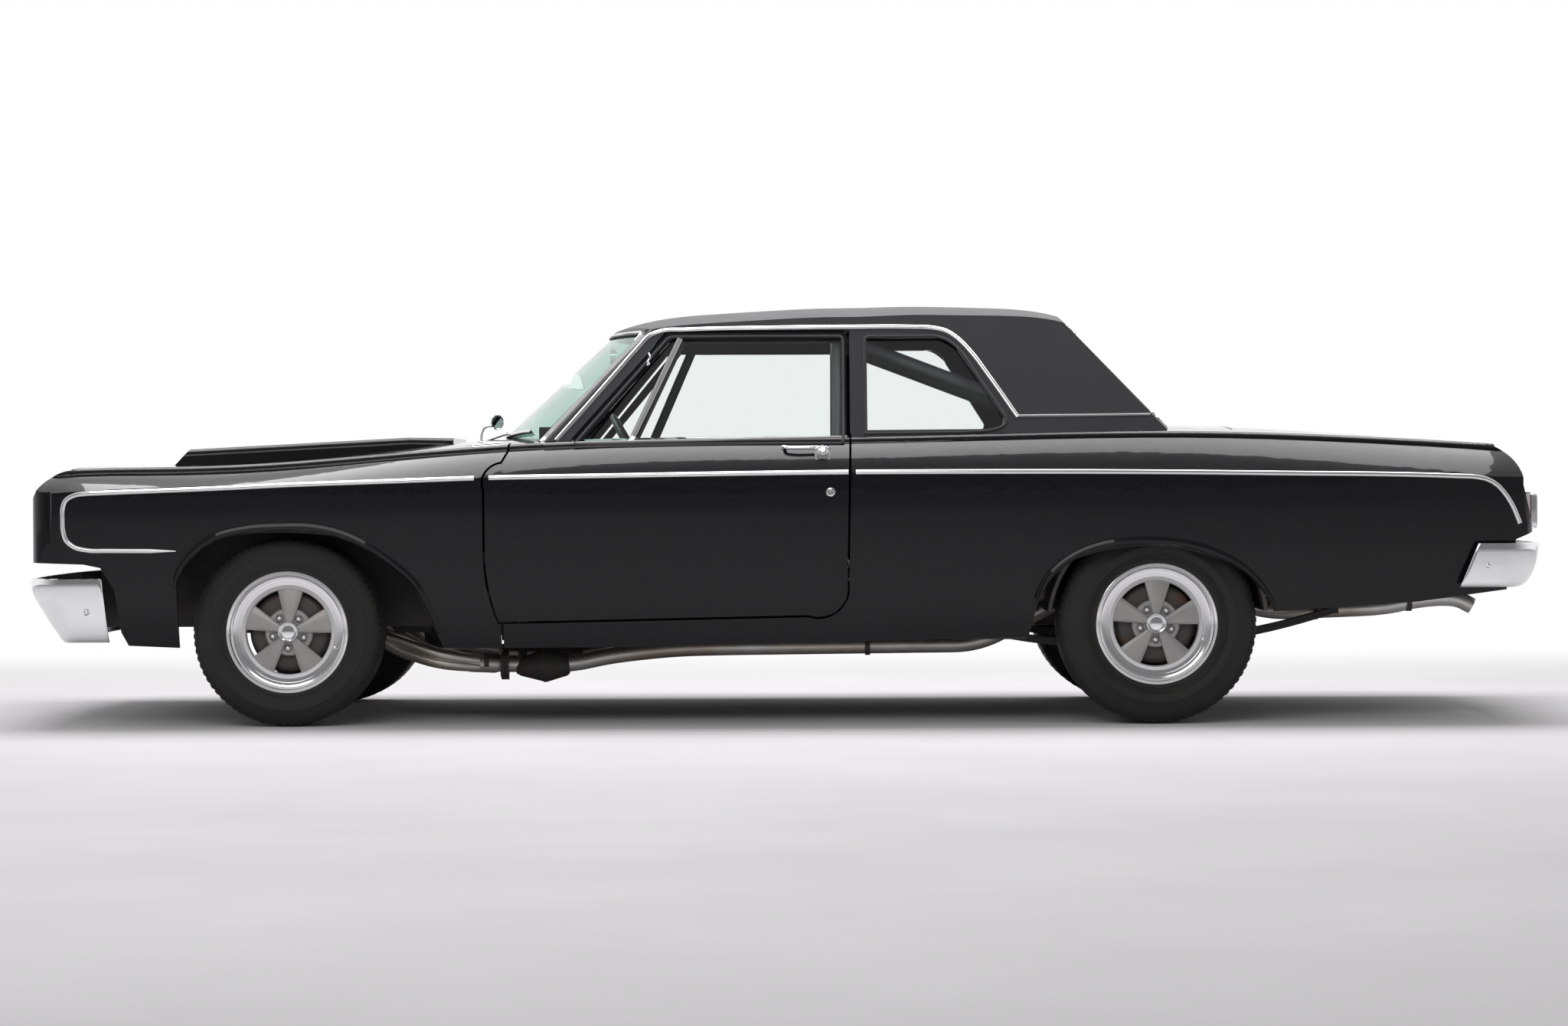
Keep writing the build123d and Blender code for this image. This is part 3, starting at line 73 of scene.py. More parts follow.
class NodeTree:
    """The nodes of a material or of the world."""

    def __init__(self, data):
        data.use_nodes = True
        self.tree = data.node_tree
        self.tree.nodes.clear()

    def node(self, kind, settings=None, inputs=None, output=0):
        """One node: its settings first, then each socket's value or link. The wire is one of its outputs."""
        made = self.tree.nodes.new("ShaderNode" + kind)
        for key, value in (settings or {}).items():
            setattr(made, key, value)
        for key, value in (inputs or {}).items():
            if isinstance(value, Wire):
                self.tree.links.new(value.socket, made.inputs[key])
            else:
                made.inputs[key].default_value = value
        return Wire(self, made.outputs[output])

    def place(self):
        """Object coordinates, in metres."""
        return self.node("TexCoord", output=3)

    def noise(self, scale, detail=2.0, stretch=(1, 1, 1)):
        """A noise from 0 to 1 on Object coordinates, in waves of 1/scale metres."""
        place = self.place()
        if stretch != (1, 1, 1):
            place = self.node("Mapping", {"vector_type": "POINT"}, {"Vector": place, "Scale": stretch})
        return self.node("TexNoise", {}, {"Vector": place, "Scale": scale, "Detail": detail})

    def mix(self, factor, first, second):
        """A colour between two colours, each a wire or (red, green, blue)."""
        first, second = [way if isinstance(way, Wire) else (*way, 1) for way in (first, second)]
        return self.node("Mix", {"data_type": "RGBA"}, {"Factor": factor, 6: first, 7: second}, output=2)

    def bump(self, height, strength, distance=0.001):
        return self.node("Bump", {}, {"Height": height, "Strength": strength, "Distance": distance})

    def coat(self, colour, roughness, height, strength, distance=0.001):
        """What varies over a surface: its colour, its roughness and its relief."""
        return {"Base Color": colour, "Roughness": roughness, "Normal": self.bump(height, strength, distance)}

    def show(self, shader, kind="Material"):
        self.tree.links.new(shader.socket, self.tree.nodes.new("ShaderNodeOutput" + kind).inputs["Surface"])


def finish(name, colour, vary, **sockets):
    """A material: its constant values go on the shader's own sockets, and vary(tree) gives what changes over it."""
    material = bpy.data.materials.new(name)
    tree = NodeTree(material)
    steady = {key.replace("_", " "): value for key, value in sockets.items()}
    tree.show(tree.node("BsdfPrincipled", {}, {"Base Color": (*colour, 1), **steady, **vary(tree)}))
    return material


# Finishes
# The height below which the engine is painted black, as painted shade under the car
PAINTED_SHADE_TOP_Z = 0.5


def gloss_black(tree):
    """Fine flake in the lacquer, a faint orange peel and a little dust."""
    flake = tree.noise(2600, 0).above(0.68, 0.06)
    colour = tree.mix(flake, (0.0026, 0.0026, 0.0032), (0.034, 0.032, 0.038))
    return tree.coat(colour, 0.16 + tree.noise(3, 4) * 0.1, tree.noise(420, 1), 0.012)


def satin_black(tree):
    """A fine grained coating that scatters what it reflects."""
    grain = tree.noise(1400, 2)
    colour = tree.mix(grain, (0.012, 0.012, 0.014), (0.03, 0.029, 0.033))
    return tree.coat(colour, 0.36 + tree.noise(5, 3) * 0.12, grain, 0.16)


def plated(tree):
    """Bright plating with a faint haze of polishing."""
    return {"Roughness": 0.03 + tree.noise(14, 5) * 0.07}


def polished_strip(tree):
    """Bright strip, brushed along the car."""
    return {"Roughness": 0.1 + tree.noise(40, 3, (0.15, 1, 1)) * 0.14}


def tyre_rubber(tree):
    """Matt rubber, greyer where dust sits."""
    dust = tree.noise(9, 5)
    colour = tree.mix(dust, (0.007, 0.007, 0.007), (0.024, 0.023, 0.021))
    return tree.coat(colour, 0.55 + dust * 0.25, tree.noise(700, 3), 0.12)


def machined(tree):
    """Turned aluminium."""
    return {"Roughness": 0.1 + tree.noise(30, 3) * 0.12}


def cast_grey(tree):
    """The satin grey of cast spokes, with a fine pitted grain."""
    grain = tree.noise(900, 3)
    colour = tree.mix(tree.noise(12, 3), (0.3, 0.29, 0.285), (0.42, 0.41, 0.4))
    return tree.coat(colour, 0.38 + grain * 0.16, grain, 0.2)


def chassis_paint(tree):
    """Black chassis paint with road dust on it."""
    dust = tree.noise(6, 6)
    colour = tree.mix(dust.above(0.55, 0.4), (0.014, 0.014, 0.014), (0.05, 0.046, 0.042))
    return tree.coat(colour, 0.42 + dust * 0.3, tree.noise(240, 4), 0.12, 0.002)


def rough_iron(tree):
    """Cast iron: coarse grain and patches of rust."""
    rust = tree.noise(13, 6).above(0.6, 0.25)
    colour = tree.mix(rust, (0.06, 0.058, 0.055), (0.1, 0.055, 0.035))
    return tree.coat(colour, 0.5 + rust * 0.3, tree.noise(170, 5), 0.35, 0.002)


def engine_enamel(tree):
    """Enamel on the block and the covers; below a height at the sump's top the engine is painted black, as painted
    shade under the car.
    """
    grain = tree.noise(150, 4)
    height = tree.node("SeparateXYZ", {}, {"Vector": tree.place()}, 2)
    enamelled = tree.mix(grain, (0.28, 0.03, 0.012), (0.4, 0.055, 0.022))
    # Painted shade: black below this height, where the car's underside shades the engine
    colour = tree.mix(height.above(PAINTED_SHADE_TOP_Z, 0.01), (0.012, 0.012, 0.012), enamelled)
    return tree.coat(colour, 0.28 + grain * 0.15, grain, 0.15, 0.002)


def bare_tube(tree):
    """Bare steel tube, brushed along the car and browned by heat."""
    heat = tree.noise(3.5, 4)
    brush = tree.noise(260, 3, (0.08, 1, 1))
    colour = tree.mix(heat.above(0.52, 0.35), (0.72, 0.71, 0.68), (0.52, 0.46, 0.4))
    return tree.coat(colour, 0.32 + brush * 0.24, brush, 0.06)


def bar_grey(tree):
    """Grey paint with a fine speck."""
    speck = tree.noise(600, 2)
    colour = tree.mix(tree.noise(7, 3), (0.17, 0.17, 0.18), (0.24, 0.24, 0.25))
    return tree.coat(colour, 0.3 + speck * 0.15, speck, 0.05)


def seat_vinyl(tree):
    """Leather-grain vinyl: rounded cells with creases between them."""
    cells = tree.node("TexVoronoi", {"feature": "DISTANCE_TO_EDGE"}, {"Vector": tree.place(), "Scale": 420})
    wear = tree.noise(8, 4)
    colour = tree.mix(wear, (0.016, 0.016, 0.017), (0.034, 0.033, 0.033))
    return tree.coat(colour, 0.36 + wear * 0.18, cells, 0.4, 0.0015)


def cabin_paint(tree):
    """Dark paint or rubber with a fine grain."""
    grain = tree.noise(500, 3)
    colour = tree.mix(tree.noise(6, 3), (0.016, 0.016, 0.018), (0.032, 0.032, 0.034))
    return tree.coat(colour, 0.38 + grain * 0.2, grain, 0.12)


def red_plastic(tree):
    """Moulded red plastic: a mesh of small prisms behind a smooth face."""
    prisms = tree.node("TexVoronoi", {"feature": "F1"}, {"Vector": tree.place(), "Scale": 150})
    return {"Base Color": tree.mix(prisms, (0.34, 0.006, 0.008), (0.16, 0.002, 0.004)),
            "Normal": tree.bump(prisms, 0.3, 0.002)}


def fluted_glass(tree):
    """Pressed lamp glass, with upright flutes."""
    flutes = tree.node("TexWave", {"wave_type": "BANDS", "bands_direction": "Y"},
                       {"Vector": tree.place(), "Scale": 24, "Distortion": 0})
    return {"Normal": tree.bump(flutes, 0.35, 0.002)}


def faint_smear(tree):
    """Glass that is nearly clean."""
    return {"Roughness": tree.noise(4, 5) * 0.02}


paint = finish("gloss_black_paint", (0.01, 0.01, 0.012), gloss_black, Coat_Weight=1.0, Coat_Roughness=0.02,
               Coat_IOR=1.3, Specular_IOR_Level=0.06)
roof_paint = finish("satin_roof_coating", (0.02, 0.02, 0.02), satin_black, Specular_IOR_Level=0.5)
chrome = finish("bright_plating", (0.82, 0.83, 0.84), plated, Metallic=1.0)
trim = finish("polished_strip", (0.78, 0.78, 0.78), polished_strip, Metallic=1.0)
clear_glass = finish("clear_window_glass", (0.96, 0.985, 0.975), faint_smear, Transmission_Weight=1.0, IOR=1.45)
tinted_glass = finish("green_windscreen_glass", (0.62, 0.86, 0.78), faint_smear, Transmission_Weight=1.0, IOR=1.45)
lamp_glass = finish("fluted_lamp_glass", (0.95, 0.95, 0.95), fluted_glass, Transmission_Weight=0.75, Roughness=0.05,
                    IOR=1.45)
red_lens = finish("red_lamp_plastic", (0.3, 0.01, 0.01), red_plastic, Roughness=0.08, Coat_Weight=1.0,
                  Coat_Roughness=0.03)
rubber = finish("tyre_rubber", (0.02, 0.02, 0.02), tyre_rubber, Specular_IOR_Level=0.35)
polished_rim = finish("machined_rim", (0.8, 0.8, 0.81), machined, Metallic=1.0)
spoke_grey = finish("cast_spoke_grey", (0.14, 0.14, 0.14), cast_grey, Metallic=0.6)
chassis = finish("chassis_paint", (0.02, 0.02, 0.02), chassis_paint)
iron = finish("cast_iron", (0.06, 0.06, 0.06), rough_iron, Metallic=0.3)
enamel = finish("engine_enamel", (0.35, 0.05, 0.02), engine_enamel, Coat_Weight=0.4)
steel = finish("heat_browned_tube", (0.5, 0.48, 0.45), bare_tube, Metallic=1.0)
bar_paint = finish("roll_bar_paint", (0.2, 0.2, 0.21), bar_grey)
vinyl = finish("grained_vinyl", (0.02, 0.02, 0.02), seat_vinyl)
dash_paint = finish("dash_paint", (0.02, 0.02, 0.02), cabin_paint)
window_rubber = finish("window_rubber", (0.012, 0.012, 0.012), cabin_paint)
bright_band = finish("satin_band", (0.88, 0.88, 0.88), machined, Metallic=0.55, Specular_IOR_Level=0.8)
mirror = finish("silvered_glass", (0.9, 0.9, 0.92), faint_smear, Metallic=1.0)

CAD_FINISH = [
    (paint, ["door_left", "door_right", "fender_left", "fender_right", "front_panel", "hood", "hood_scoop",
             "quarter_left", "quarter_right", "cowl", "rear_deck", "tail_panel", "trunk_lid"]),
    (roof_paint, ["roof"]),
    (chrome, ["front_bumper", "rear_bumper", "mirror_inside"]),
    (trim, ["grille"]),
    (clear_glass, ["door_glass_left", "door_glass_right", "quarter_glass", "rear_window"]),
    (tinted_glass, ["windshield"]),
    (lamp_glass, ["headlamps"]),
    (red_lens, ["tail_lamps"]),
    (rubber, ["tyre_fl", "tyre_fr", "tyre_rl", "tyre_rr"]),
    (polished_rim, ["rim_fl", "rim_fr", "rim_rl", "rim_rr"]),
    (chassis, ["floor_pan", "engine_bay", "front_crossmember", "leaf_springs", "fuel_tank", "radiator"]),
    (iron, ["rear_axle", "knuckle_fl", "knuckle_fr", "driveshaft"]),
    (enamel, ["engine"]),
    (steel, ["exhaust"]),
    (bar_paint, ["roll_bar"]),
    (vinyl, ["front_seat", "rear_seat", "parcel_shelf"]),
    (dash_paint, ["dashboard", "steering_column", "steering_wheel"]),
]
for material, names in CAD_FINISH:
    for name in names:
        nodes[name].data.materials.clear()
        nodes[name].data.materials.append(material)


# Surfaces
MM = 0.001


def skin(grid, around=False, along=False, ends=False):
    """The faces on a grid of points, whose rows run along and columns around; a closed way meets its own start."""
    rows, cols = grid.shape[:2]
    index = np.arange(rows * cols).reshape(rows, cols)
    loops = [index[0].tolist(), index[-1].tolist()]
    if along:
        index = np.vstack([index, index[:1]])
    if around:
        index = np.hstack([index, index[:, :1]])
    corners = (index[:-1, :-1], index[1:, :-1], index[1:, 1:], index[:-1, 1:])
    faces = np.stack(corners, -1).reshape(-1, 4).tolist()
    return grid.reshape(-1, 3), faces + (loops if ends else [])


def run_lengths(points):
    """How far along a line each of its points is."""
    steps = np.linalg.norm(np.diff(points, axis=0), axis=1)
    return np.concatenate([[0], np.cumsum(steps)])


def cubic(run, values, at):
    """Values between knots: between two of them a cubic, with the slope at each from its two neighbours."""
    slope = np.gradient(values, run, axis=0)
    k = np.clip(np.searchsorted(run, at, side="right") - 1, 0, len(run) - 2)
    span = (run[k + 1] - run[k])[:, None]
    t = (at - run[k])[:, None] / span
    start = (2 * t**3 - 3 * t**2 + 1) * values[k] + (t**3 - 2 * t**2 + t) * span * slope[k]
    return start + (3 * t**2 - 2 * t**3) * values[k + 1] + (t**3 - t**2) * span * slope[k + 1]


def smooth_path(points, count):
    """A smooth curve through points, in even steps."""
    points = np.array(points, float)
    run = run_lengths(points)
    return cubic(run, points, np.linspace(0, run[-1], count))


def bent_path(points, radius, count=6):
    """Straight runs with each corner rounded: a curve of second degree from radius before it to radius after it."""
    points = np.array(points, float)
    before = points[:-2] - points[1:-1]
    after = points[2:] - points[1:-1]
    reach = [np.minimum(radius, np.linalg.norm(way, axis=1) * 0.49)[:, None] for way in (before, after)]
    starts = points[1:-1] + before / np.linalg.norm(before, axis=1)[:, None] * reach[0]
    stops = points[1:-1] + after / np.linalg.norm(after, axis=1)[:, None] * reach[1]
    t = np.linspace(0, 1, count)[None, :, None]
    arcs = (1 - t) ** 2 * starts[:, None] + 2 * t * (1 - t) * points[1:-1, None] + t**2 * stops[:, None]
    return np.vstack([points[:1], arcs.reshape(-1, 3), points[-1:]])


def carry(path, profile, up, closed=False, scale=None):
    """A profile (side, up) carried along a path: each ring is the path's point plus the profile in the plane
    square to the path there, with up as near as it can be to the given direction."""
    path, profile = np.array(path, float), np.array(profile, float)
    if closed:
        ahead = np.roll(path, -1, axis=0) - np.roll(path, 1, axis=0)
    else:
        ahead = np.gradient(path, axis=0)
    ahead /= np.linalg.norm(ahead, axis=1)[:, None]
    side = np.cross(ahead, np.broadcast_to(np.array(up, float), ahead.shape))
    side /= np.linalg.norm(side, axis=1)[:, None]
    top = np.cross(side, ahead)
    size = np.ones(len(path)) if scale is None else np.array(scale, float)
    rings = (path[:, None] + side[:, None] * profile[None, :, :1] * size[:, None, None]
             + top[:, None] * profile[None, :, 1:] * size[:, None, None])
    return skin(rings, around=True, along=closed, ends=not closed)


def turned(profile, steps):
    """A profile of (radius, height) turned about an upright axis: radius times cosine and sine of the angle."""
    profile = np.array(profile, float)
    angle = np.linspace(0, 2 * math.pi, steps, endpoint=False)[:, None]
    grid = np.stack([profile[:, 0] * np.cos(angle), profile[:, 0] * np.sin(angle),
                     np.broadcast_to(profile[:, 1], (steps, len(profile)))], -1)
    return skin(grid, along=True)


def disc(radius, count):
    """A ring of points for a round profile."""
    angle = np.linspace(0, 2 * math.pi, count, endpoint=False)
    return np.stack([radius * np.cos(angle), radius * np.sin(angle)], -1)


def box_profile(half_w, half_h, lift=0.0):
    """A rectangle (side, up) for a flat bar."""
    low, high = lift - half_h, lift + half_h
    return [(-half_w, low), (-half_w, high), (half_w, high), (half_w, low)]


def oblong(half_w, half_h, power=4.0, count=24):
    """A rounded oblong profile: |u / half_w|^power + |v / half_h|^power = 1."""
    angle = np.linspace(0, 2 * math.pi, count, endpoint=False)
    cos, sin = np.cos(angle), np.sin(angle)
    return np.stack([half_w * np.sign(cos) * np.abs(cos) ** (2 / power),
                     half_h * np.sign(sin) * np.abs(sin) ** (2 / power)], -1)


def placed(part, matrix):
    """The same faces with each point multiplied by a matrix."""
    points, faces = part
    table = np.array(matrix)
    return points @ table[:3, :3].T + table[:3, 3], faces


def all_placed(parts, matrix):
    return [placed(part, matrix) for part in parts]


def mirrored(part):
    points, faces = part
    return points * (1, -1, 1), faces


def both_sides(parts):
    return parts + [mirrored(part) for part in parts]


def linked(name, data):
    """A new object in the scene."""
    made = bpy.data.objects.new(name, data)
    bpy.context.scene.collection.objects.link(made)
    return made


def piece(name, material, parts, body="body", stands_for=(), sharp=32, bevel=0.0):
    """One object from several skins in millimetres: their points and faces are put end to end, doubled points
    are merged, faces are turned outwards, and edges sharper than an angle stay crisp."""
    counts = np.cumsum([0] + [len(points) for points, faces in parts])
    points = np.vstack([points for points, faces in parts]) * MM
    faces = [[int(corner + start) for corner in face] for start, (_, some) in zip(counts, parts) for face in some]
    mesh = bpy.data.meshes.new(name)
    mesh.from_pydata(points.tolist(), [], faces)
    shell = bmesh.new()
    shell.from_mesh(mesh)
    bmesh.ops.remove_doubles(shell, verts=shell.verts, dist=1e-6)
    bmesh.ops.recalc_face_normals(shell, faces=shell.faces)
    shell.to_mesh(mesh)
    shell.free()
    mesh.shade_smooth()
    mesh.set_sharp_from_angle(angle=math.radians(sharp))
    mesh.materials.append(material)
    made = linked(name, mesh)
    if bevel:
        edge = made.modifiers.new("eased_edge", "BEVEL")
        edge.width = bevel * MM
        edge.segments = 2
        edge.limit_method = "ANGLE"
        edge.angle_limit = math.radians(sharp)
    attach(made, body)
    if stands_for:
        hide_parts(*stands_for)
    return made


# Camera, floor and light
CAMERA_AT = (0.0886, -14.23, 0.838)
CAMERA_TURN = (0.353, 89.567, -0.236)  # degrees about Z, X and Z
CAMERA_LENS = 88.42
FLOOR_REACH = 60
FLOOR_FADE_Y, FLOOR_FADE_WIDTH = 3.2, 4.0
ROOM_DARK, ROOM_EDGE, ROOM_BLEND = 0.2, -0.35, 1.1  # the room's brightness, and where it turns white
EVEN_LIGHT = 0.55
CAMERA_RAY, GLOSSY_RAY, TRANSMISSION_RAY = 0, 3, 6  # outputs of the light path

camera_data = bpy.data.cameras.new("side_camera")
camera_data.sensor_width = 36
camera_data.lens = CAMERA_LENS
camera_data.clip_end = 200
camera = linked("side_camera", camera_data)
yaw, tilt, roll = [math.radians(angle) for angle in CAMERA_TURN]
turn = Matrix.Rotation(yaw, 4, "Z") @ Matrix.Rotation(tilt, 4, "X") @ Matrix.Rotation(roll, 4, "Z")
camera.matrix_world = Matrix.Translation(CAMERA_AT) @ turn
bpy.context.scene.camera = camera
bpy.context.scene.view_settings.view_transform = "Standard"


def seen_directly(tree):
    """1 for rays from the camera, a mirror or glass, and 0 for light on its way to a matt surface."""
    path = [tree.node("LightPath", output=ray) for ray in (CAMERA_RAY, GLOSSY_RAY, TRANSMISSION_RAY)]
    return (path[0] + path[1] + path[2]).above(0.5, 0.1)


def make_floor():
    """Pale matt concrete that turns into plain white behind the car."""
    mesh = bpy.data.meshes.new("studio_floor")
    reach = FLOOR_REACH
    mesh.from_pydata([(-reach, -reach, 0), (reach, -reach, 0), (reach, reach, 0), (-reach, reach, 0)], [],
                     [(0, 1, 2, 3)])
    floor = linked("studio_floor", mesh)
    material = bpy.data.materials.new("pale_concrete")
    tree = NodeTree(material)
    across = tree.node("SeparateXYZ", {}, {"Vector": tree.place()}, 1)
    mottle = tree.mix(tree.noise(1.3, 6), (0.56, 0.55, 0.56), (0.66, 0.65, 0.66))
    matt = tree.node("BsdfDiffuse", {}, {"Color": mottle})
    white = tree.node("Emission", {}, {"Color": (1, 1, 1, 1), "Strength": 1.0})
    fade = across.above(FLOOR_FADE_Y, FLOOR_FADE_WIDTH) * seen_directly(tree)
    tree.show(tree.node("MixShader", {}, {0: fade, 1: matt, 2: white}))
    mesh.materials.append(material)


def make_world():
    """White where it is seen, with the dark of a room behind the camera for what is mirrored, and an even light."""
    world = bpy.data.worlds.new("studio")
    bpy.context.scene.world = world
    tree = NodeTree(world)
    way = tree.node("TexCoord", output=0)
    room = tree.node("SeparateXYZ", {}, {"Vector": way}, 1).above(ROOM_EDGE, ROOM_BLEND)
    reflected = tree.node("LightPath", output=GLOSSY_RAY)
    seen = 1 - reflected * (1 - (room * (1 - ROOM_DARK) + ROOM_DARK))
    direct = seen_directly(tree)
    strength = seen * direct + (1 - direct) * EVEN_LIGHT
    tree.show(tree.node("Background", {}, {"Color": (1, 1, 1, 1), "Strength": strength}), "World")


def softbox(name, place, aim, size, watts):
    """A wide soft lamp that faces a point."""
    data = bpy.data.lights.new(name, "AREA")
    data.shape = "RECTANGLE"
    data.size, data.size_y = size
    data.energy = watts
    lamp = linked(name, data)
    back = np.array(place, float) - np.array(aim, float)
    yaw = math.atan2(back[1], back[0]) + math.pi / 2
    tilt = math.acos(back[2] / np.linalg.norm(back))
    lamp.matrix_world = (Matrix.Translation(place) @ Matrix.Rotation(yaw, 4, "Z")
                         @ Matrix.Rotation(tilt, 4, "X"))


make_floor()
make_world()
softbox("overhead", (0, 0.8, 5.2), (0, 0, 0.6), (7.5, 3.4), 420)
softbox("front_fill", (-2, -8, 4.5), (0, 0, 0.5), (6, 2.5), 160)


# Lines on the panels
def met(starts, way, names):
    """Where lines from the starts, all going one way, first meet the named nodes. Points that meet none are
    put between their neighbours."""
    starts, way = np.array(starts, float), np.array(way, float)
    far = []
    for start in starts:
        casts = [nodes[name].ray_cast(tuple(start * MM), tuple(way)) for name in names]
        reach = [float(np.dot(np.array(place) / MM - start, way)) for found, place, normal, face in casts if found]
        far.append(min(reach, default=math.nan))
    far, run = np.array(far), np.arange(len(far))
    seen = ~np.isnan(far)
    return starts + way * np.interp(run, run[seen], far[seen])[:, None]


def on_panels(points, names):
    """Side-view points carried inwards until they meet the outer face of the left panels."""
    x, z = np.array(points, float).T
    return met(np.stack([x, np.full(len(x), -1400.0), z], -1), (0, 1, 0), names)


def on_top(points, names):
    """Points of the view from above dropped on the panels."""
    x, y = np.array(points, float).T
    return met(np.stack([x, y, np.full(len(x), 2000.0)], -1), (0, 0, -1), names)


def on_end(points, side, names):
    """Points (y, z) of the front view (side -1) or of the back view (side 1) carried to the panels."""
    y, z = np.array(points, float).T
    return met(np.stack([np.full(len(y), side * 3000.0), y, z], -1), (-side, 0, 0), names)


def line_of(points, count):
    """A smooth curve through side-view points."""
    flat = np.array([(x, 0, z) for x, z in points], float)
    return smooth_path(flat, count)[:, (0, 2)]


def corners_of(points, radius):
    """Straight side-view runs with rounded corners."""
    return bent_path([(x, 0, z) for x, z in points], radius)[:, (0, 2)]


def between(points, low_x, high_x):
    """The part of a side-view curve between two places along the body."""
    return points[(points[:, 0] >= low_x) & (points[:, 0] <= high_x)]


# Bright trim
MOULDING = [(-8, -3), (-8, 1.5), (-6, 4.4), (-2.5, 6), (2.5, 6), (6, 4.4), (8, 1.5), (8, -3)]
NARROW_STRIP = [(-5, -2), (-5, 2), (-2.5, 4), (2.5, 4), (5, 2), (5, -2)]
FLAT_STRIP = [(-13, -2), (-13, 2.4), (-10, 3.6), (10, 3.6), (13, 2.4), (13, -2)]
OUTWARDS = (0, -1, 0)
SIDE_LINE = [(-2402, 814), (-2200, 821), (-1950, 830), (-1695, 841), (-1350, 852), (-1035, 862), (-600, 868),
             (226, 877), (700, 877), (1131, 875), (1700, 868), (2338, 855), (2400, 852), (2440, 843), (2472, 824),
             (2498, 796), (2530, 745), (2552, 692)]
NOSE_LOOP = [(-2402, 814), (-2446, 808), (-2478, 790), (-2489, 761), (-2490, 728), (-2489, 690), (-2478, 652),
             (-2450, 629), (-2406, 618), (-2330, 616), (-2220, 615), (-2096, 614)]
FENDER_SEAM_X = -1030
DOOR_FRONT_X, DOOR_REAR_X = -1026, 233
QUARTER_SEAM_X = 241
VENT_BAR = [(-9, -8), (-9, 1), (-5, 3), (5, 3), (9, 1), (9, -8)]
ROOF_DRIP = [(-788, 992), (-700, 1094), (-600, 1211), (-500, 1328), (-469, 1362), (-430, 1378), (-340, 1383),
             (-60, 1388), (234, 1390), (460, 1389), (530, 1386), (580, 1374), (622, 1345), (664, 1300), (726, 1214),
             (824, 1068)]
PILLAR_LINE = [(824, 1072), (1000, 1073), (1289, 1076)]
BELT_LINE = [(-828, 978), (-700, 983), (-511, 987), (-100, 994), (226, 1000)]
QUARTER_FRAME = [(290, 1012), (290, 1357), (546, 1357), (584, 1344), (624, 1312), (700, 1194), (786, 1064),
                 (778, 1036), (730, 1020), (640, 1015), (450, 1013)]
DOOR_FRAME = [(-722, 978), (-398, 1358), (214, 1358), (214, 978)]
BODY_PANELS = ["fender_left", "quarter_left"]
ROOF_PANELS = ["roof"]
PILLAR_BAND = [(-838, 985), (-760, 1070), (-660, 1180), (-560, 1286), (-487, 1362)]
DIVISION = [(-527, 984), (-359, 1352)]
FRONT_ARCH = [(-2096, 480), (-2082, 530), (-2040, 588), (-1960, 646), (-1860, 672), (-1740, 680), (-1620, 677),
              (-1540, 660), (-1440, 616), (-1350, 556), (-1270, 480), (-1230, 400), (-1196, 318)]
REAR_ARCH = [(882, 418), (930, 508), (1010, 572), (1100, 606), (1257, 621), (1400, 608), (1500, 577), (1600, 522),
             (1660, 460), (1700, 396)]
LIP_ABOVE_ARCH = 4
ARCH_LIP = [(-3, -6), (-3, 0), (3, 8), (14, 12), (24, 9), (31, 1), (31, -6)]


def pair(name, part, material, body="body"):
    """A part on the left and its mirror image on the right; "side" in the body's name becomes left or right."""
    piece(name + "_left", material, [part], body.replace("side", "left"))
    piece(name + "_right", material, [mirrored(part)], body.replace("side", "right"))


def strip(name, line, panels, profile, body="body", material=trim, scale=None):
    """A strip carried along a line on the left panels, and its mirror image."""
    part = carry(on_panels(line, panels), profile, OUTWARDS, scale=scale)
    pair(name, part, material, body)


def make_trim():
    """The strips of the side and the rubbers of its windows. The fender's moulding grows from the loop's end."""
    side = line_of(SIDE_LINE, 200)
    front = np.vstack([line_of(NOSE_LOOP, 90)[::-1], between(side, -2400, FENDER_SEAM_X - 6)])
    grown = np.clip(np.arange(len(front)) / 16 + 0.2, 0, 1)
    strip("fender_moulding", front, BODY_PANELS, MOULDING, scale=grown)
    strip("door_moulding", between(side, DOOR_FRONT_X, DOOR_REAR_X), ["door_left"], MOULDING, "door_side")
    strip("quarter_moulding", between(side, QUARTER_SEAM_X, 2560), BODY_PANELS, MOULDING)
    strip("drip_moulding", line_of(ROOF_DRIP, 130), ROOF_PANELS, MOULDING)
    strip("pillar_moulding", line_of(PILLAR_LINE, 30), ROOF_PANELS, NARROW_STRIP)
    strip("windscreen_moulding", line_of(PILLAR_BAND, 40), ROOF_PANELS, FLAT_STRIP, material=bright_band)
    strip("belt_moulding", line_of(BELT_LINE, 50), ["door_left"], NARROW_STRIP, "door_side")
    strip("vent_window_division", line_of(DIVISION, 20), ["door_left"], VENT_BAR, "door_side")
    window = corners_of(QUARTER_FRAME + QUARTER_FRAME[:1], 22)
    strip("quarter_window_rubber", window, ROOF_PANELS, NARROW_STRIP, material=window_rubber)
    window = corners_of(DOOR_FRAME + DOOR_FRAME[:1], 16)
    strip("door_window_rubber", window, ["door_left"], NARROW_STRIP, "door_side", material=window_rubber)


def make_arch_lips():
    """The rolled lip of each wheel arch: its profile is full over the wheel and thins out to both ends."""
    for name, arch in (("front", FRONT_ARCH), ("rear", REAR_ARCH)):
        line = line_of(arch, 90)
        at = np.linspace(0, 1, len(line))
        full = 0.35 + 0.65 * np.clip(4 * at * (1 - at), 0, 1) ** 0.5
        path = on_panels(line + (0, LIP_ABOVE_ARCH), BODY_PANELS)
        profile = [(-u, v) for u, v in ARCH_LIP]
        pair(f"{name}_arch_lip", carry(path, profile, OUTWARDS, scale=full), paint)


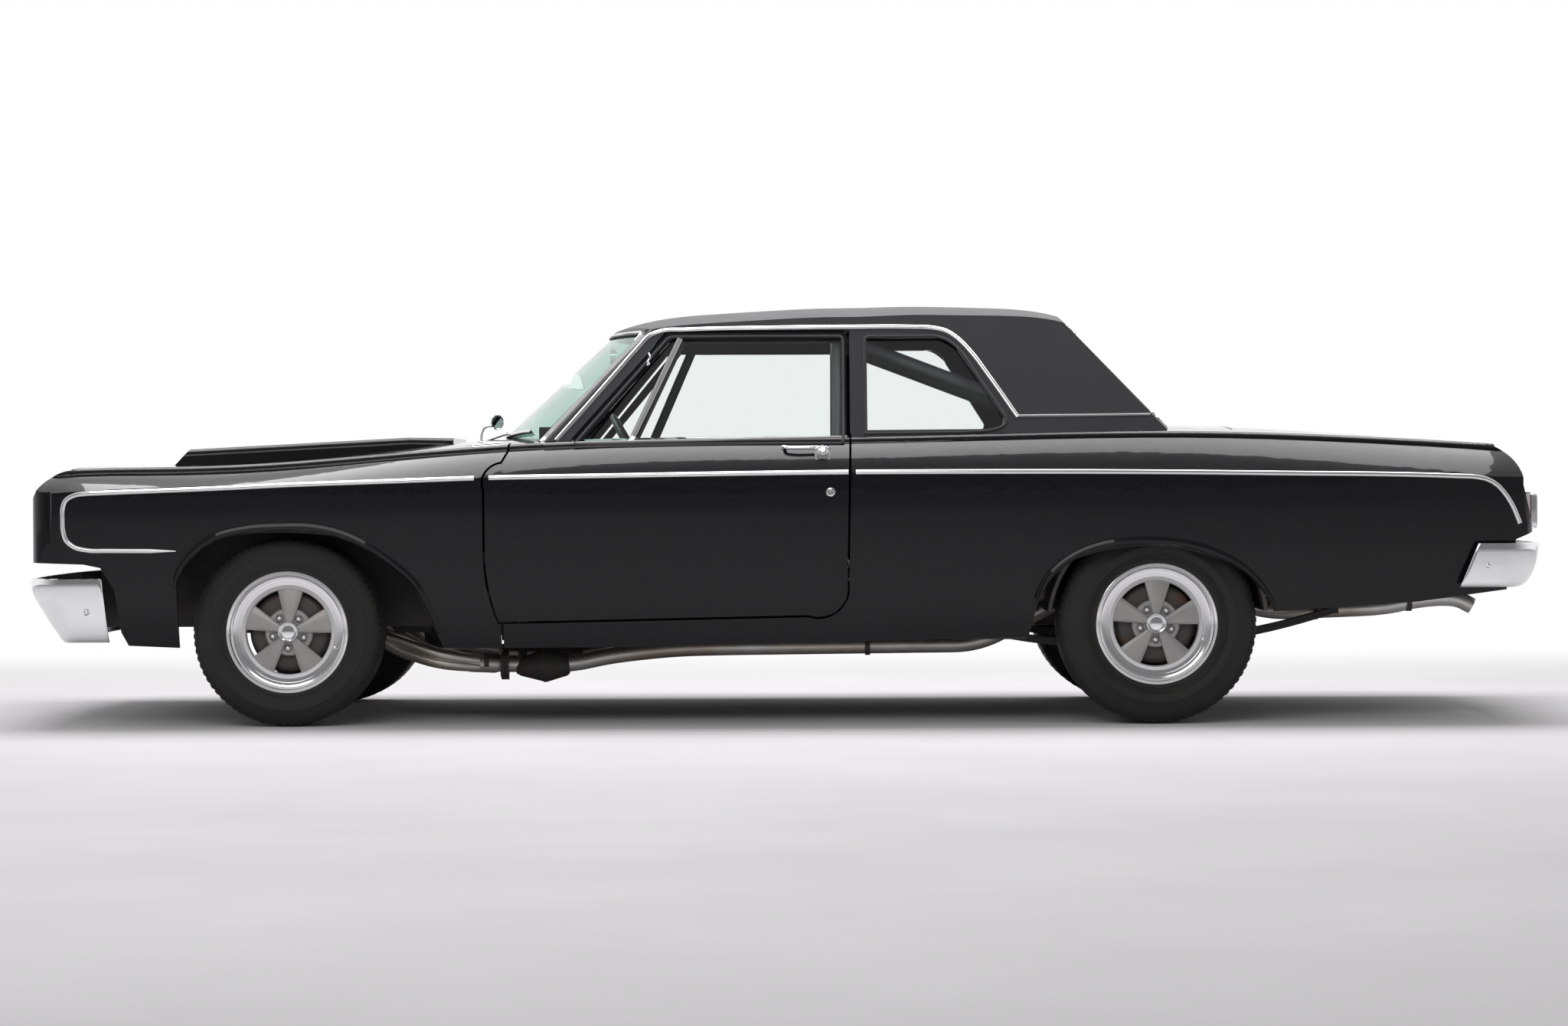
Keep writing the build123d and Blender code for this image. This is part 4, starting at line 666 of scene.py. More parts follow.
# Bumpers
# Of each blade: x of its edge at the middle and at the corner, x of the arm's end at its top and how much further
# on it is at its bottom, half width, and its face as (height, how far it leans in)
FRONT_BLADE = (-2667, -2632, -2360, 20, 905,
               [(519, 12), (517, 3), (510, 0), (480, 3), (450, 14), (420, 32), (385, 54), (350, 78), (325, 102),
                (308, 122), (298, 146), (296, 158)])
REAR_BLADE = (2667, 2640, 2404, -61, 924,
              [(625, 16), (623, 4), (616, 0), (590, 3), (560, 10), (530, 20), (505, 33), (488, 46), (476, 62),
               (471, 78)])
BLADE_CORNER_R = 150
BLADE_WALL = 4
SIDE_LEAN = 0.3  # the share of the lean that is left along the side
BOLT_Y = (300, 640)


def bow_at(blade, y):
    """x of a blade's edge, which bows from the middle to the corner by the square of the distance."""
    edge_x, corner_x, half_y = blade[0], blade[1], blade[4]
    return edge_x + (corner_x - edge_x) * (y / (half_y - BLADE_CORNER_R)) ** 2


def blade_grid(blade):
    """Each ring is the bumper's face from top to bottom; it is carried along a plan line that bows to the corner,
    turns it on an arc and runs back along the side, where the face leans less. A point is the plan line's point
    less its outward direction times the lean."""
    edge_x, corner_x, end_x, slant, half_y, face = blade
    outward = math.copysign(1, edge_x)
    y = np.linspace(0, half_y - BLADE_CORNER_R, 24)
    bow = np.stack([bow_at(blade, y), y], -1)
    turn = np.linspace(0, math.pi / 2, 16)[1:]
    centre = np.array([corner_x - outward * BLADE_CORNER_R, half_y - BLADE_CORNER_R])
    arc = centre + BLADE_CORNER_R * np.stack([outward * np.cos(turn), np.sin(turn)], -1)
    back = np.linspace(arc[-1, 0], end_x, 10)[1:]
    arm = np.stack([back, np.full(len(back), half_y, float)], -1)
    plan = np.vstack([bow, arc, arm])
    plan = np.vstack([plan[::-1], plan[1:] * (1, -1)])
    ahead = np.gradient(plan, axis=0)
    ahead /= np.linalg.norm(ahead, axis=1)[:, None]
    normal = np.stack([ahead[:, 1], -ahead[:, 0]], -1) * -outward
    frontal = np.clip(normal[:, :1] * outward, 0, 1)
    height, lean = np.array(face, float).T
    inward = lean[None, :] * (SIDE_LEAN + (1 - SIDE_LEAN) * frontal)
    along_arm = np.clip((plan[:, :1] - arc[-1, 0]) / (end_x - arc[-1, 0]), 0, 1)
    shift = slant * along_arm * (height[0] - height)[None, :] / (height[0] - height[-1])
    return np.stack([plan[:, :1] - normal[:, :1] * inward + shift, plan[:, 1:] - normal[:, 1:] * inward,
                     np.broadcast_to(height, inward.shape)], -1)


def make_bumpers():
    for name, blade in (("front_bumper", FRONT_BLADE), ("rear_bumper", REAR_BLADE)):
        made = piece(f"plated_{name}", chrome, [skin(blade_grid(blade))], stands_for=[name])
        wall = made.modifiers.new("wall", "SOLIDIFY")
        wall.thickness = BLADE_WALL * MM
        wall.offset = -1


# Wheels, each drawn with its axle upright and its outer face up
# Of each axle: name, x, distance of a wheel's middle plane from the centre line, tyre radius, half tread width
AXLES = [("f", -1723, 760, 329, 98), ("r", 1300, 755, 347, 110)]
SPOKE_TURN = 0.04
VALVE_R, VALVE_TURN = 171, 1.86
SPOKE_COUNT = 5
SPOKE_NEAR_R, SPOKE_FAR_R = 34, 150
SPOKE_NEAR_HALF, SPOKE_FAR_HALF = 13, 46
LUG_R = 57.15
TREAD_BLOCKS = 76
LIP_STEPS = [
    (150, 54), (151, 58), (163, 58), (164, 60), (176, 61), (177, 66), (184, 67), (185.5, 73), (191, 75), (193, 82),
    (198, 86), (201, 92), (206, 95), (210, 98), (212, 97), (212, 92), (203, 88), (201, 60), (200, 35), (184, 20),
    (184, -30), (200, -45), (200, -86), (208, -94), (206, -97), (193, -88), (193, -45), (177, -30), (177, 22),
    (168, 40), (158, 48), (150, 50),
]


def around_wheel(part, count, start=0.0):
    """Copies of a part turned about the upright axis, spaced evenly."""
    return [placed(part, Matrix.Rotation(start + 2 * math.pi * k / count, 4, "Z")) for k in range(count)]


def tyre_parts(radius, tread_half):
    """The turned carcass, with steps pressed in its wall, and lugs cut across both shoulders of the tread."""
    wall = tread_half + 21
    side = [(211, 97), (217, 100), (224, 101.5), (226, 100.5), (232, 104), (245, wall - 8), (262, wall - 1),
            (264, wall - 0.2), (272, wall), (274, wall - 1.4), (radius - 42, wall - 4), (radius - 30, wall - 9),
            (radius - 18, tread_half + 6), (radius - 9, tread_half - 1)]
    crown = [(radius - 4.5, tread_half - 13)]
    for groove in (66, 33, 0, -33, -66):
        at = groove * tread_half / 100
        crown += [(radius - 2.2, at + 5), (radius - 9, at + 3.4), (radius - 9, at - 3.4), (radius - 2.2, at - 5)]
    crown += [(radius - 4.5, 13 - tread_half)]
    outline = side + crown + [(r, -a) for r, a in reversed(side)]
    hollow = [(202, -80), (202, 80)]
    carcass = turned(outline + hollow + outline[:1], 120)
    block_profile = [(radius - 17, tread_half + 7.5), (radius - 8.5, tread_half + 1), (radius - 2.5, tread_half - 8),
                     (radius - 1.6, tread_half - 24), (radius - 9, tread_half - 24), (radius - 19, tread_half + 3)]
    width = 2 * math.pi / TREAD_BLOCKS
    lugs = []
    for shoulder in (1, -1):
        profile = np.array(block_profile) * (1, shoulder)
        angle = np.array([-0.31, -0.27, 0.27, 0.31])[:, None] * width
        shrink = np.array([3.5, 0, 0, 3.5])[:, None]
        r = profile[:, 0] - shrink
        grid = np.stack([r * np.cos(angle), r * np.sin(angle), np.broadcast_to(profile[:, 1], r.shape)], -1)
        lugs += around_wheel(skin(grid, around=True, ends=True), TREAD_BLOCKS, width / 2 * (shoulder > 0))
    return [carcass] + lugs


def spoke_part():
    """One cast spoke. Along it the half width grows in a straight line and the face sinks towards the rim; across
    it the face is crowned: height is the crown times one minus the distance from the middle to the fourth power."""
    along = np.linspace(0, 1, 14)[:, None]
    across = np.linspace(-1, 1, 15)[None, :]
    half = SPOKE_NEAR_HALF + (SPOKE_FAR_HALF - SPOKE_NEAR_HALF) * along
    x = SPOKE_NEAR_R + (SPOKE_FAR_R - SPOKE_NEAR_R) * along + 0 * across
    y = half * across
    top = 62 - 8 * along**1.5 - 5 * across**4 - 2.2 * across**2 * along
    low = 30 + 6 * along + 0 * across
    ring = np.concatenate([np.stack([x, y, top], -1), np.stack([x, y, low], -1)[:, ::-1]], axis=1)
    return skin(ring, around=True, ends=True)


def hub_parts(first):
    """The hub's boss with a pad at each stud, dished between the spokes, turned to the first spoke."""
    boss = turned([(0, 20), (80, 20), (84, 24), (84, 41), (80, 45), (58, 46), (38, 47), (36, 60), (0, 60)], 60)
    pocket = turned([(15, 45.5), (15, 50), (13, 51.5), (12.4, 49), (12, 45.8)], 24)
    pocket = placed(pocket, Matrix.Translation((LUG_R, 0, 0)))
    parts = [boss] + around_wheel(pocket, SPOKE_COUNT, math.pi / SPOKE_COUNT)
    return all_placed(parts, Matrix.Rotation(first, 4, "Z"))


def cap_parts():
    """The plain centre cap: a plated ring with a shallow dished face."""
    return [turned([(0, 56), (34, 56), (35.5, 60), (35.5, 72), (34, 75.5), (31.5, 77), (29, 76), (27.5, 73.5),
                    (26, 73), (18, 74.4), (9, 75.2), (0, 75.5)], 64)]


def lug_nut():
    """A six-sided nut with a domed end on its round seat."""
    corners = np.linspace(0, 2 * math.pi, 6, endpoint=False)
    levels = [(8.0, 44), (9.8, 45), (9.8, 60), (8.6, 63), (6.4, 65.6), (3.4, 67), (0.4, 67.4)]
    ring = np.array([[(r * math.cos(c), r * math.sin(c), h) for c in corners] for r, h in levels])
    return placed(skin(ring, around=True, ends=True), Matrix.Translation((LUG_R, 0, 0)))


def drum_parts():
    """The finned brake drum that shows between the spokes."""
    fins = [(0, -34), (62, -34), (66, 22), (118, 24), (128, 22), (136, 17)]
    for edge in (14, 6, -2, -10, -18, -26):
        fins += [(139.5, edge), (139.5, edge - 3), (134, edge - 3.6), (134, edge - 7)]
    return [turned(fins + [(134, -34), (0, -36)], 72)]


def make_wheels():
    """Each wheel's pieces, turned so that the upright axis lies along the axle and the outer face looks outwards."""
    for end, axle_x, mid_y, radius, tread_half in AXLES:
        for hand, side in (("l", -1), ("r", 1)):
            stand = Matrix.Translation((axle_x, side * mid_y, radius)) @ Matrix.Rotation(-side * math.pi / 2, 4, "X")
            first = math.pi / 2 * -side - SPOKE_TURN
            bed = turned([(148, 32), (148, 52), (156, 54), (158, 46), (160, 36), (148, 32)], 96)
            nuts = around_wheel(lug_nut(), SPOKE_COUNT, first + math.pi / SPOKE_COUNT)
            valve = placed(turned([(0, 60), (4.4, 60), (4.6, 70), (3.4, 73), (3.4, 82), (2.6, 84), (0, 84)], 16),
                           Matrix.Rotation(first + VALVE_TURN * side, 4, "Z") @ Matrix.Translation((VALVE_R, 0, 0)))
            spokes = around_wheel(spoke_part(), SPOKE_COUNT, first) + hub_parts(first) + [bed]
            name = end + hand
            lip = [turned(LIP_STEPS + LIP_STEPS[:1], 120)]
            for kind, material, parts, slot, stood, sharp in (
                ("tread_tyre", rubber, tyre_parts(radius, tread_half), "tyre", [f"tyre_{name}"], 32),
                ("rim_lip", polished_rim, lip, "wheel_alloy", [f"rim_{name}"], 24),
                ("spokes", spoke_grey, spokes, "wheel_alloy", (), 32),
                ("cap_and_nuts", chrome, cap_parts() + nuts + [valve], "chrome", (), 32),
                ("brake_drum", iron, drum_parts(), "cast_iron", (), 32),
            ):
                piece(f"{kind}_{name}", material, all_placed(parts, stand), f"wheel_{name}", stood, sharp)


# Small fittings of the side and the front
TUBE_UP = (0.31, 0.93, 0.2)  # a way that no tube runs along


def bead(points, radius, bend=40, sides=14):
    """A round bar or tube along straight runs with rounded corners."""
    return carry(bent_path(points, bend), disc(radius, sides), TUBE_UP)


def facing(place, way):
    """The matrix that puts a piece drawn face up at a place, with its face to the given way."""
    way = np.array(way, float) / np.linalg.norm(way)
    side = np.cross((0.0, 0.0, 1.0), way) if abs(way[2]) < 0.9 else np.array((0.0, 1.0, 0.0))
    side /= np.linalg.norm(side)
    table = np.eye(4)
    table[:3, 0], table[:3, 1], table[:3, 2], table[:3, 3] = side, np.cross(way, side), way, place
    return table


def lathed(profile, steps, place, way):
    """A turned piece at a place, with its face to the given way."""
    return placed(turned(profile, steps), facing(place, way))


def dome(radius, height, edge=1.5):
    """A turned dome with a small upright edge: its height falls as one minus the square of the radius."""
    r = np.linspace(1, 0, 10)
    return turned([(radius, -3)] + [(radius * k, edge + height * (1 - k**2)) for k in r], 28)


def shaped_plate(outline, levels, ends=True):
    """A plate whose outline rises in levels of (scale, height) about its middle."""
    outline = np.array(outline, float)
    grid = np.array([[(u * scale, v * scale, height) for u, v in outline] for scale, height in levels])
    return skin(grid, around=True, ends=ends)


def make_door_handles():
    """A bar that stands off the door, carried on its foot, and the housing of the push button at its rear end."""
    at = on_panels([(8, 962), (60, 963), (140, 964), (141, 936), (168, 809)], ["door_left"])
    foot, middle, rear, housing, lock = at
    bar = bead([foot + (0, 2, 0), foot + (4, -24, 1), middle + (0, -30, 0), rear + (6, -27, 0), rear + (22, -6, 0)],
               6.5, 16)
    base = placed(shaped_plate(oblong(13, 9), [(1, -4), (1, 3), (0.8, 5), (0.2, 5.4)]), facing(foot, OUTWARDS))
    plate = placed(shaped_plate(oblong(30, 35, 3), [(1, -6), (1, 6), (0.9, 12), (0.72, 15), (0.5, 13), (0.2, 12)]),
                   facing(housing, OUTWARDS))
    button = lathed([(14, 8), (14, 24), (12.5, 26), (10, 26.6), (9, 25.6), (0, 25)], 32,
                    housing + (0, 0, 16), (0, -1, 0.25))
    barrel = lathed([(16, -3), (16, 2), (14, 4.4), (11, 5), (9.6, 3.6), (9.4, 2.6), (2.6, 2.4), (2.4, 1.4), (0, 1.4)],
                    32, lock, OUTWARDS)
    for name, part in (("door_handle_bar", bar), ("door_handle_foot", base), ("door_handle_housing", plate),
                       ("door_handle_button", button), ("door_lock", barrel)):
        pair(name, part, chrome, "door_side")


def make_vent_latch():
    """The lever on the vent window's frame, with its knob."""
    knob, arm, foot = on_panels([(-473, 1262), (-462, 1282), (-470, 1300)], ["door_glass_left", "door_left"])
    lever = bead([knob + (0, -6, -4), knob + (0, -10, 8), arm + (0, -14, 0), foot + (0, -6, 0)], 3.6, 8, 10)
    pair("vent_window_latch", lever, chrome, "door_side")
    pair("vent_window_knob", placed(dome(8, 5), facing(knob + (0, -4, 0), OUTWARDS)), chrome, "door_side")


def make_side_mirror():
    """A small round mirror on a bent stalk that stands on the cowl, on the driver's side."""
    base = on_top([(-1062, -600)], ["cowl", "fender_left", "hood"])[0]
    head = base + (52, -10, 72)
    stalk = bead([base, base + (-6, -2, 26), base + (10, -8, 60), head + (-4, 3, -14)], 4.5, 22, 12)
    way = (0.62, -0.78, 0.02)
    shell = lathed([(0, -16), (10, -15), (19, -11), (25, -3), (27, 2), (26.4, 5), (24, 5.4), (22.6, 3.4)],
                   40, head, way)
    foot = placed(dome(17, 6), facing(base, (0, 0, 1)))
    piece("side_mirror_shell", chrome, [shell, stalk, foot])
    piece("side_mirror_glass", mirror, [lathed([(23, 3.4), (0, 3.2)], 40, head, way)])


WIPERS = [(-590, -190, -430), (-60, 340, 110)]  # y of the blade's two ends and of the pivot
WIPER_Z = 1012


def make_wipers():
    """Each wiper lies along the foot of the windscreen: a blade with its backing strip, and an arm to its pivot."""
    arms, blades = [], []
    for near, far, pivot_y in WIPERS:
        y = np.linspace(near, far, 24)
        height = WIPER_Z + 10 * np.cos((y - near) / (far - near) * math.pi)
        line = on_end(np.stack([y, height], -1), -1, ["windshield"])
        blades.append(carry(line + (-5, 0, 4), box_profile(3, 5, -1), (-0.8, 0, 0.6)))
        arms.append(carry(line + (-9, 0, 7), box_profile(5, 1.5), (-0.8, 0, 0.6)))
        pivot = on_end([(pivot_y, WIPER_Z - 42)], -1, ["windshield", "cowl"])[0] + (-12, 0, 4)
        arms.append(bead([pivot, pivot + (-8, 20, 12), line[13] + (-16, 0, 12), line[12] + (-9, 0, 7)], 4, 20, 10))
        arms.append(lathed([(0, 14), (9, 13), (14, 8), (15, -14), (0, -14)], 24, pivot, (-0.7, 0, 0.7)))
    piece("wiper_arms", trim, arms)
    piece("wiper_blades", window_rubber, blades)


SCREEN_EDGE = [(-752, 953), (-572, 1380), (572, 1380), (752, 953)]
REAR_SCREEN_EDGE = [(-658, 1060), (-526, 1400), (526, 1400), (658, 1060)]


def make_screen_mouldings():
    """A closed strip round each screen. Its corners are rounded, and its runs are cut in short steps."""
    for name, edge, side, names in (("windscreen", SCREEN_EDGE, -1, ["roof", "windshield", "cowl"]),
                                    ("rear_screen", REAR_SCREEN_EDGE, 1, ["roof", "rear_window", "rear_deck"])):
        loop = bent_path([(0, y, z) for y, z in edge + edge[:2]], 36, 8)[1:-1, 1:]
        mid = [(y, z) for start, stop in zip(loop[:-1], loop[1:]) for y, z in np.linspace(start, stop, 6)[:-1]]
        path = on_end(mid, side, names) + (side * 1.0, 0, 0)
        piece(f"{name}_surround", trim, [carry(path, NARROW_STRIP, (side * 0.8, 0, 0.6))])


def make_bumper_fittings():
    """Domed bolts on the blades, and the irons that carry the blades from the chassis."""
    bolts = [placed(dome(12, 6), facing((-2415, -894, 403), (0, -1, -0.05))),
             placed(dome(11, 5), facing((2438, -921, 548), (0, -1, -0.02)))]
    irons = []
    for y in BOLT_Y:
        front_x, rear_x = bow_at(FRONT_BLADE, y), bow_at(REAR_BLADE, y)
        bolts.append(placed(dome(13, 6), facing((front_x + 5, -y, 484), (-1, 0, -0.1))))
        bolts.append(placed(dome(13, 6), facing((rear_x - 3, -y, 590), (1, 0, 0))))
        for run in ([(front_x + 61, -y, 470), (-2560, -y + 10, 452), (-2430, -440, 400)],
                    [(rear_x - 39, -y, 575), (2560, -y + 10, 545), (2400, -420, 470)]):
            irons.append(carry(bent_path(run, 40), box_profile(5, 26), (0, 0, 1)))
    piece("bumper_bolts", chrome, both_sides(bolts))
    piece("bumper_irons", chassis, both_sides(irons))


# Seats
FRONT_CUSHION = [(-418, 480), (-426, 540), (-404, 590), (-330, 609), (-200, 602), (-60, 588), (8, 574), (30, 530),
                 (24, 470), (-60, 432), (-250, 426), (-390, 434)]
FRONT_BACK = [(24, 560), (42, 640), (68, 760), (90, 860), (106, 903), (134, 916), (158, 898), (166, 840), (152, 700),
              (134, 560), (108, 470), (60, 470), (30, 500)]
REAR_CUSHION = [(640, 520), (634, 600), (660, 638), (720, 650), (850, 645), (908, 630), (934, 560), (918, 505),
                (780, 499)]
REAR_BACK = [(905, 600), (932, 680), (966, 800), (998, 900), (1020, 944), (1046, 958), (1068, 946), (1075, 850),
             (1070, 650), (1060, 520), (960, 508)]
CHANNEL_PITCH = 65
CHANNEL_DEPTH = 7


def closed_outline(points, count):
    """A smooth closed curve through side-view points: the curve through three rounds of them, cut to its middle."""
    ring = np.array(list(points) * 3 + [points[0]], float)
    run = run_lengths(ring)
    at = np.linspace(run[len(points)], run[2 * len(points)], count, endpoint=False)
    return cubic(run, ring, at)


def pad_ring(outline, across, half_y):
    """The outline at a share of the half width, drawn in towards its middle: the draw is the eighth root of one
    minus the share to the eighth."""
    middle = outline.mean(axis=0)
    draw = np.clip(1 - np.abs(across) ** 8, 0, 1) ** (1 / 8)
    flat = middle + (outline[None] - middle) * draw[:, None, None]
    y = np.broadcast_to((across * half_y)[:, None], flat.shape[:2])
    return np.stack([flat[..., 0], y, flat[..., 1]], -1)


def pad_parts(points, half_y, first_channel):
    """A sewn cushion. Its rings are pressed towards the middle along each channel by a bell curve of the distance
    to the channel, and a welt runs round each end."""
    outline = closed_outline(points, 64)
    across = np.sin(np.linspace(-1, 1, 241) * math.pi / 2)
    grid = pad_ring(outline, across, half_y)
    y = grid[:, :1, 1]
    channels = np.arange(-first_channel, first_channel + 1, CHANNEL_PITCH)
    press = CHANNEL_DEPTH * np.exp(-((y - channels[None]) / 8) ** 2).sum(axis=1)
    middle = np.array([outline[:, 0].mean(), 0, outline[:, 1].mean()])
    way = (grid - middle) * (1, 0, 1)
    way /= np.maximum(np.linalg.norm(way, axis=-1), 1)[..., None]
    parts = [skin(grid - way * press[:, None, None], around=True, ends=True)]
    for share in (-0.965, 0.965):
        ring = pad_ring(outline, np.array([share]), half_y)[0]
        parts.append(carry(ring, disc(4.5, 8), (0, 1, 0), closed=True))
    return parts


def make_seats():
    """The padded benches, and the rails that carry the front one."""
    for name, points, half_y, first, stood in (
        ("front_seat_cushion", FRONT_CUSHION, 638, 520, ["front_seat"]),
        ("front_seat_back", FRONT_BACK, 632, 520, []),
        ("rear_seat_cushion", REAR_CUSHION, 576, 455, ["rear_seat"]),
        ("rear_seat_back", REAR_BACK, 576, 455, []),
    ):
        made = piece(name, vinyl, pad_parts(points, half_y, first), stands_for=stood, sharp=60)
    rails = [carry([(-330, y, 358), (60, y, 358)], box_profile(16, 52), (0, 0, 1)) for y in (-540, -230, 230, 540)]
    piece("seat_rails", chassis, rails, bevel=2)


# Cabin
WHEEL_HUB, WHEEL_TILT = (-513, -370, 900), 28
GAUGE_Z, GAUGE_WAY = 876, (0.985, 0, -0.17)
GAUGES = [(-470, 54), (-270, 54), (-370, 32)]  # y and radius


def make_cabin():
    """The horn ring and cap on the steering wheel, the instruments, and the moulding of the panel."""
    tilt = math.radians(WHEEL_TILT)
    stand = facing(WHEEL_HUB, (math.cos(tilt), 0, math.sin(tilt)))
    ring = turned([(118 + 4.5 * math.cos(a), 4.5 * math.sin(a)) for a in np.linspace(0, 2 * math.pi, 11)], 72)
    cap = turned([(36, -6), (37, 6), (33, 12), (20, 16), (0, 17)], 40)
    bars = [carry([(end * 30, 0, 4), (end * 116, 0, 1)], disc(5, 8), (0, 0, 1)) for end in (1, -1)]
    piece("horn_ring", chrome, all_placed([ring, cap] + bars, stand), "steering_wheel")
    bezels, faces, hands = [], [], []
    for y, radius in GAUGES:
        place = on_end([(y, GAUGE_Z)], 1, ["dashboard"])[0]
        bezel = [(radius, -6), (radius, 5), (radius - 3, 8), (radius - 7, 5), (radius - 7, 1)]
        bezels.append(lathed(bezel, 56, place, GAUGE_WAY))
        faces.append(lathed([(radius - 5, 1.5), (0, 1.5)], 48, place, GAUGE_WAY))
        hand = carry([(-6, 0, 3), (radius - 14, 0, 3)], box_profile(1.2, 0.6), (0, 0, 1))
        mark = carry([(radius - 15, 0, 2), (radius - 9, 0, 2)], box_profile(1, 0.5), (0, 0, 1))
        turns = [(hand, 0.7)] + [(mark, math.radians(step * 27 - 35)) for step in range(11)]
        stand = Matrix(facing(place, GAUGE_WAY).tolist())
        hands += [placed(part, stand @ Matrix.Rotation(turn, 4, "Z")) for part, turn in turns]
    piece("gauge_bezels", chrome, bezels)
    piece("gauge_faces", window_rubber, faces)
    piece("gauge_hands", bar_paint, hands)
    y = np.linspace(-690, 690, 40)
    band = on_end(np.stack([y, np.full(40, 922.0)], -1), 1, ["dashboard"])
    piece("dash_moulding", trim, [carry(band, NARROW_STRIP, (1, 0, 0))])


# Exhaust
PIPE_Y = -440
TAIL_RUN = [(-1000, 197), (-760, 194), (-620, 226), (-391, 250), (-200, 254), (700, 262), (1010, 430), (1560, 430),
            (1730, 372), (2150, 388), (2270, 416), (2400, 424), (2462, 392)]
# Of each port: x, and how far its tube ends beside and above the middle of the four
HEADER_PORTS = [(-1860, -24, 24), (-1760, 24, 24), (-1640, -24, -14), (-1540, 24, -14)]
TANK_X = 2190


def make_exhaust():
    """Four bare tubes from the engine gather into one, then a flange, a double cone, the run under the floor and
    over the axle, and the turned-down end. Each is a circle carried along its bends."""
    pipes = []
    for port_x, beside, above in HEADER_PORTS:
        pipes.append(bead([(port_x, -262, 600), (port_x + 10, -352, 560), (port_x + 60, -372 + beside * 0.5, 400),
                           (-1380 + beside, -392 + beside * 0.6, 262 + above),
                           (-1230, -436 + beside, 208 + above * 0.8),
                           (-1086, PIPE_Y + beside * 0.7, 196 + above * 0.6)], 19, 70, 18))
    pipes.append(lathed([(0, 0), (30, 0), (33, 10), (33, 96), (26, 122), (25, 150), (0, 150)], 32,
                        (-1130, PIPE_Y, 202), (1, 0, -0.04)))
    tail = bent_path([(x, PIPE_Y, z) for x, z in TAIL_RUN], 90, 9)
    pipes.append(carry(tail, disc(29, 24), TUBE_UP))
    flange = [(0, -7), (46, -7), (48, -5), (48, 5), (46, 7), (0, 7)]
    joints = [lathed(flange, 32, (x, PIPE_Y, 196), (1, 0, -0.03)) for x in (-1004, -990)]
    joints += [lathed([(0, -14), (12, -14), (12, 14), (0, 14)], 6, (-997, PIPE_Y + a, 196 + b), (1, 0, 0))
               for a, b in ((38, 20), (-38, 20), (0, -44))]
    joints += [lathed([(31, -9), (34, -9), (34, 9), (31, 9), (31, -9)], 32, (x, PIPE_Y, z), (1, 0, 0.03))
               for x, z in ((-1062, 202), (300, 258), (1900, 379), (2236, 408))]
    cones = lathed([(0, -180), (27, -180), (30, -172), (34, -168), (56, -88), (60, -80), (58, -70), (38, 0), (34, 6),
                    (29, 10), (0, 10)], 48, (-776, PIPE_Y, 192), (1, 0, 0.02))
    hangers = [carry([(x, PIPE_Y, z), (x, PIPE_Y, top)], box_profile(8, 2), (1, 0, 0))
               for x, z, top in ((300, 286, 296), (1900, 400, 478), (2236, 430, 478))]
    piece("exhaust_pipes", steel, both_sides(pipes), stands_for=["exhaust"])
    piece("exhaust_cones", iron, both_sides([cones]))
    piece("exhaust_joints", iron, both_sides(joints + hangers))
    tank = shaped_plate(oblong(205, 318, 7, 48), [(0.2, 392), (0.9, 394), (0.97, 402), (1, 414), (1, 430),
                                                  (1.02, 431), (1.02, 434), (1, 435), (1, 477), (0.2, 477.5)])
    piece("pressed_fuel_tank", chassis, [placed(tank, Matrix.Translation((TANK_X, 0, 0)))],
          stands_for=["fuel_tank"])


# Lamps
HEADLAMP_Y, HEADLAMP_Z = (565, 740), 706
TAIL_LAMP = (706, 735, 92, 57)  # y, z, half width, half height of the lens


def make_headlamps():
    """Each lamp: a plated bowl whose depth falls as the square of the radius, a crowned lens and a rim."""
    bowls, lenses, rims = [], [], []
    for y in HEADLAMP_Y:
        at = on_end([(-y, HEADLAMP_Z)], -1, ["headlamps"])[0], (-1, 0, 0)
        bowls.append(lathed([(66, -1)] + [(r, -26 + 24 * (r / 66) ** 2) for r in np.linspace(66, 0, 12)], 56, *at))
        bowls.append(lathed([(11, -24), (11, -14), (9, -11), (0, -10)], 24, *at))
        lenses.append(lathed([(67, -2)] + [(r, 8 - 9 * (r / 67) ** 2) for r in np.linspace(67, 0, 12)], 56, *at))
        rims.append(lathed([(66, -3), (66, 2), (69, 6), (74, 7), (79, 4), (81, -3)], 64, *at))
    piece("headlamp_bowls", mirror, both_sides(bowls), stands_for=["headlamps"])
    piece("headlamp_lenses", lamp_glass, both_sides(lenses))
    piece("headlamp_rims", chrome, both_sides(rims))


